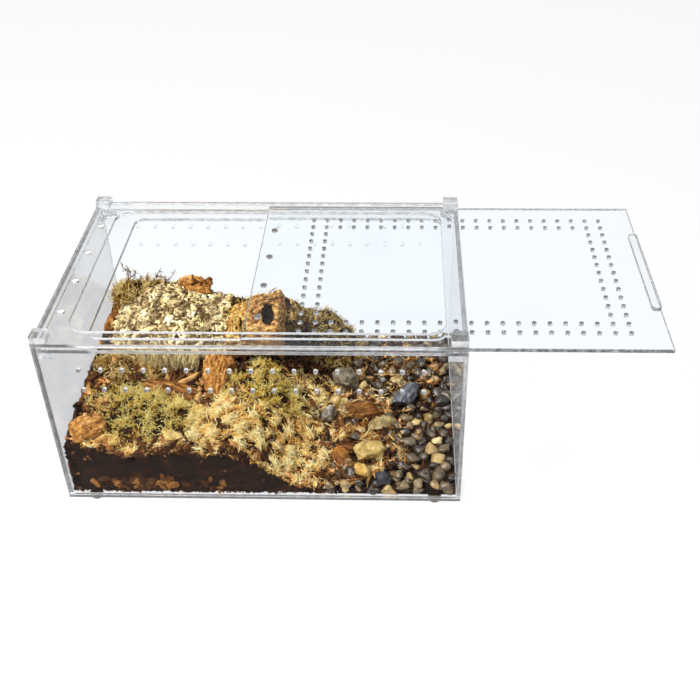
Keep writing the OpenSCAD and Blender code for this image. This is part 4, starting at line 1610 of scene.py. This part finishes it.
@dataclass
class Studio:
    """A pale floor and backdrop under soft light, and the camera of the photograph.

    eye is a place like those in the case, lamps_aim a point in metres, and the three turns are in
    radians.
    """

    eye: Triple = (252.84, -546.71, 558.51)
    lamps_aim: Triple = (-0.05, 0.0, 0.06)
    yaw: float = -0.0340
    pitch: float = 0.6502
    roll: float = -0.0133
    focal_pixels: float = 1013.1
    middle_pixel: Pair = (372.0, 352.0)
    frame_pixels: float = 700.0
    sensor: float = 36.0
    ambient: float = 0.17
    white: float = 0.88

    def place_camera(self) -> None:
        """Stands the camera where the photograph was taken from."""
        flat = math.cos(self.pitch)
        ahead = Vector((math.sin(self.yaw) * flat, math.cos(self.yaw) * flat, -math.sin(self.pitch)))
        level_right = Vector((math.cos(self.yaw), -math.sin(self.yaw), 0.0))
        above = level_right.cross(ahead)
        right = level_right * math.cos(self.roll) + above * math.sin(self.roll)
        up = above * math.cos(self.roll) - level_right * math.sin(self.roll)
        data = bpy.data.cameras.new("camera")
        data.sensor_width = self.sensor
        data.lens = self.focal_pixels / self.frame_pixels * self.sensor
        half = self.frame_pixels / 2
        data.shift_x = (half - self.middle_pixel[0]) / self.frame_pixels
        data.shift_y = (self.middle_pixel[1] - half) / self.frame_pixels
        camera = put("camera", data)
        turn = Matrix((right, up, -ahead)).transposed().to_4x4()
        camera.matrix_world = Matrix.Translation(spot(*self.eye)) @ turn
        bpy.context.scene.camera = camera

    def seen(self, tree: NodeTree) -> NodeSocket:
        """Tells the rays that are seen from those that only light the scene.

        Args:
            tree: the node tree.

        Returns:
            1 for the camera's rays, their reflections and what they see through glass, or 0.
        """
        path = add_node(tree, "LightPath")
        top = path.outputs["Is Camera Ray"]
        for ray in ("Is Glossy Ray", "Is Transmission Ray"):
            top = add_math(tree, "MAXIMUM", top, path.outputs[ray])
        first = add_math(tree, "LESS_THAN", path.outputs["Diffuse Depth"], 0.5)
        return add_math(tree, "MULTIPLY", top, first)

    def lay_floor(self, height: float) -> None:
        """Lays a wide pale floor, which keeps the shadow.

        Args:
            height: the floor's height in metres.
        """
        form = bmesh.new()
        ops.create_grid(form, x_segments=1, y_segments=1, size=6.0)
        ops.translate(form, verts=form.verts, vec=(0, 0, height))
        floor = put("studio_floor", as_mesh(form, "studio_floor", False))
        material, tree = new_tree("white_paper_sweep")
        paper = add_node(tree, "BsdfDiffuse", {"Color": linear("F4F5F6")})
        glow = add_node(tree, "Emission", {"Color": linear("FFFFFF"), "Strength": 1.0})
        share = add_math(tree, "MULTIPLY", self.seen(tree), self.white)
        mix = add_mix(tree, share, paper, glow)
        add_node(tree, "OutputMaterial", {"Surface": mix.outputs[0]})
        floor.data.materials.append(material)

    def light(self) -> None:
        """Sets a white world that fills softly, a key lamp and a weaker fill, placed in metres."""
        world = bpy.data.worlds.new("studio")
        bpy.context.scene.world = world
        world.use_nodes = True
        tree = world.node_tree
        tree.nodes.clear()
        strength = add_node(tree, "MapRange", {"Value": self.seen(tree), "To Min": self.ambient})
        inputs = {"Color": linear("FFFFFF"), "Strength": strength.outputs[0]}
        sky = add_node(tree, "Background", inputs)
        add_node(tree, "OutputWorld", {"Surface": sky.outputs[0]})
        middle = Vector(self.lamps_aim)
        for name, place, size, power in (
            ("key_lamp", (-0.75, -0.5, 1.5), 0.3, 40.0),
            ("fill_lamp", (1.0, -0.8, 0.9), 0.9, 5.0),
        ):
            data = bpy.data.lights.new(name, "AREA")
            data.size = size
            data.energy = power
            lamp = put(name, data)
            lamp.location = place
            lamp.rotation_mode = "QUATERNION"
            lamp.rotation_quaternion = (middle - Vector(place)).to_track_quat("-Z", "Y")

    def build(self) -> None:
        """Sets up the camera, the floor and the light."""
        self.place_camera()
        self.lay_floor(solid_box[0].z)
        self.light()
        bpy.context.scene.view_settings.view_transform = "Standard"


def main() -> None:
    """Builds the studio, dresses the case and plants the landscape."""
    logging.basicConfig(level=logging.INFO, format="%(name)s: %(message)s")
    Studio().build()
    AcrylicCase().build()
    ground = Ground(SOFT_GROUND + LYING, seed=2)
    Soil().build(ground)
    GroundCover().build(ground)
    for cushion in (
        Moss("moss_front", MOSS, 6000, (0.1, 1.0), (0.5, 1.2)),
        Moss("moss_side", BROWN_MOSS, 2200, (0.05, 0.95)),
        Moss("moss_corner", BROWN_MOSS, 1800, (0.0, 0.8)),
        Moss("moss_centre", MOSS, 5200, (0.05, 0.85), (0.5, 1.2)),
        Moss("moss_back", BROWN_MOSS, 5600, (0.05, 0.95), (0.4, 1.0), 46.0),
    ):
        cushion.build(ground)
    for part in (StrawBlanket(), GravelBed(), CorkHide(), LooseWood()):
        part.build(ground)
    Stones().build()
    CornerGrowth().build(ground)


if __name__ == "__main__":
    main()
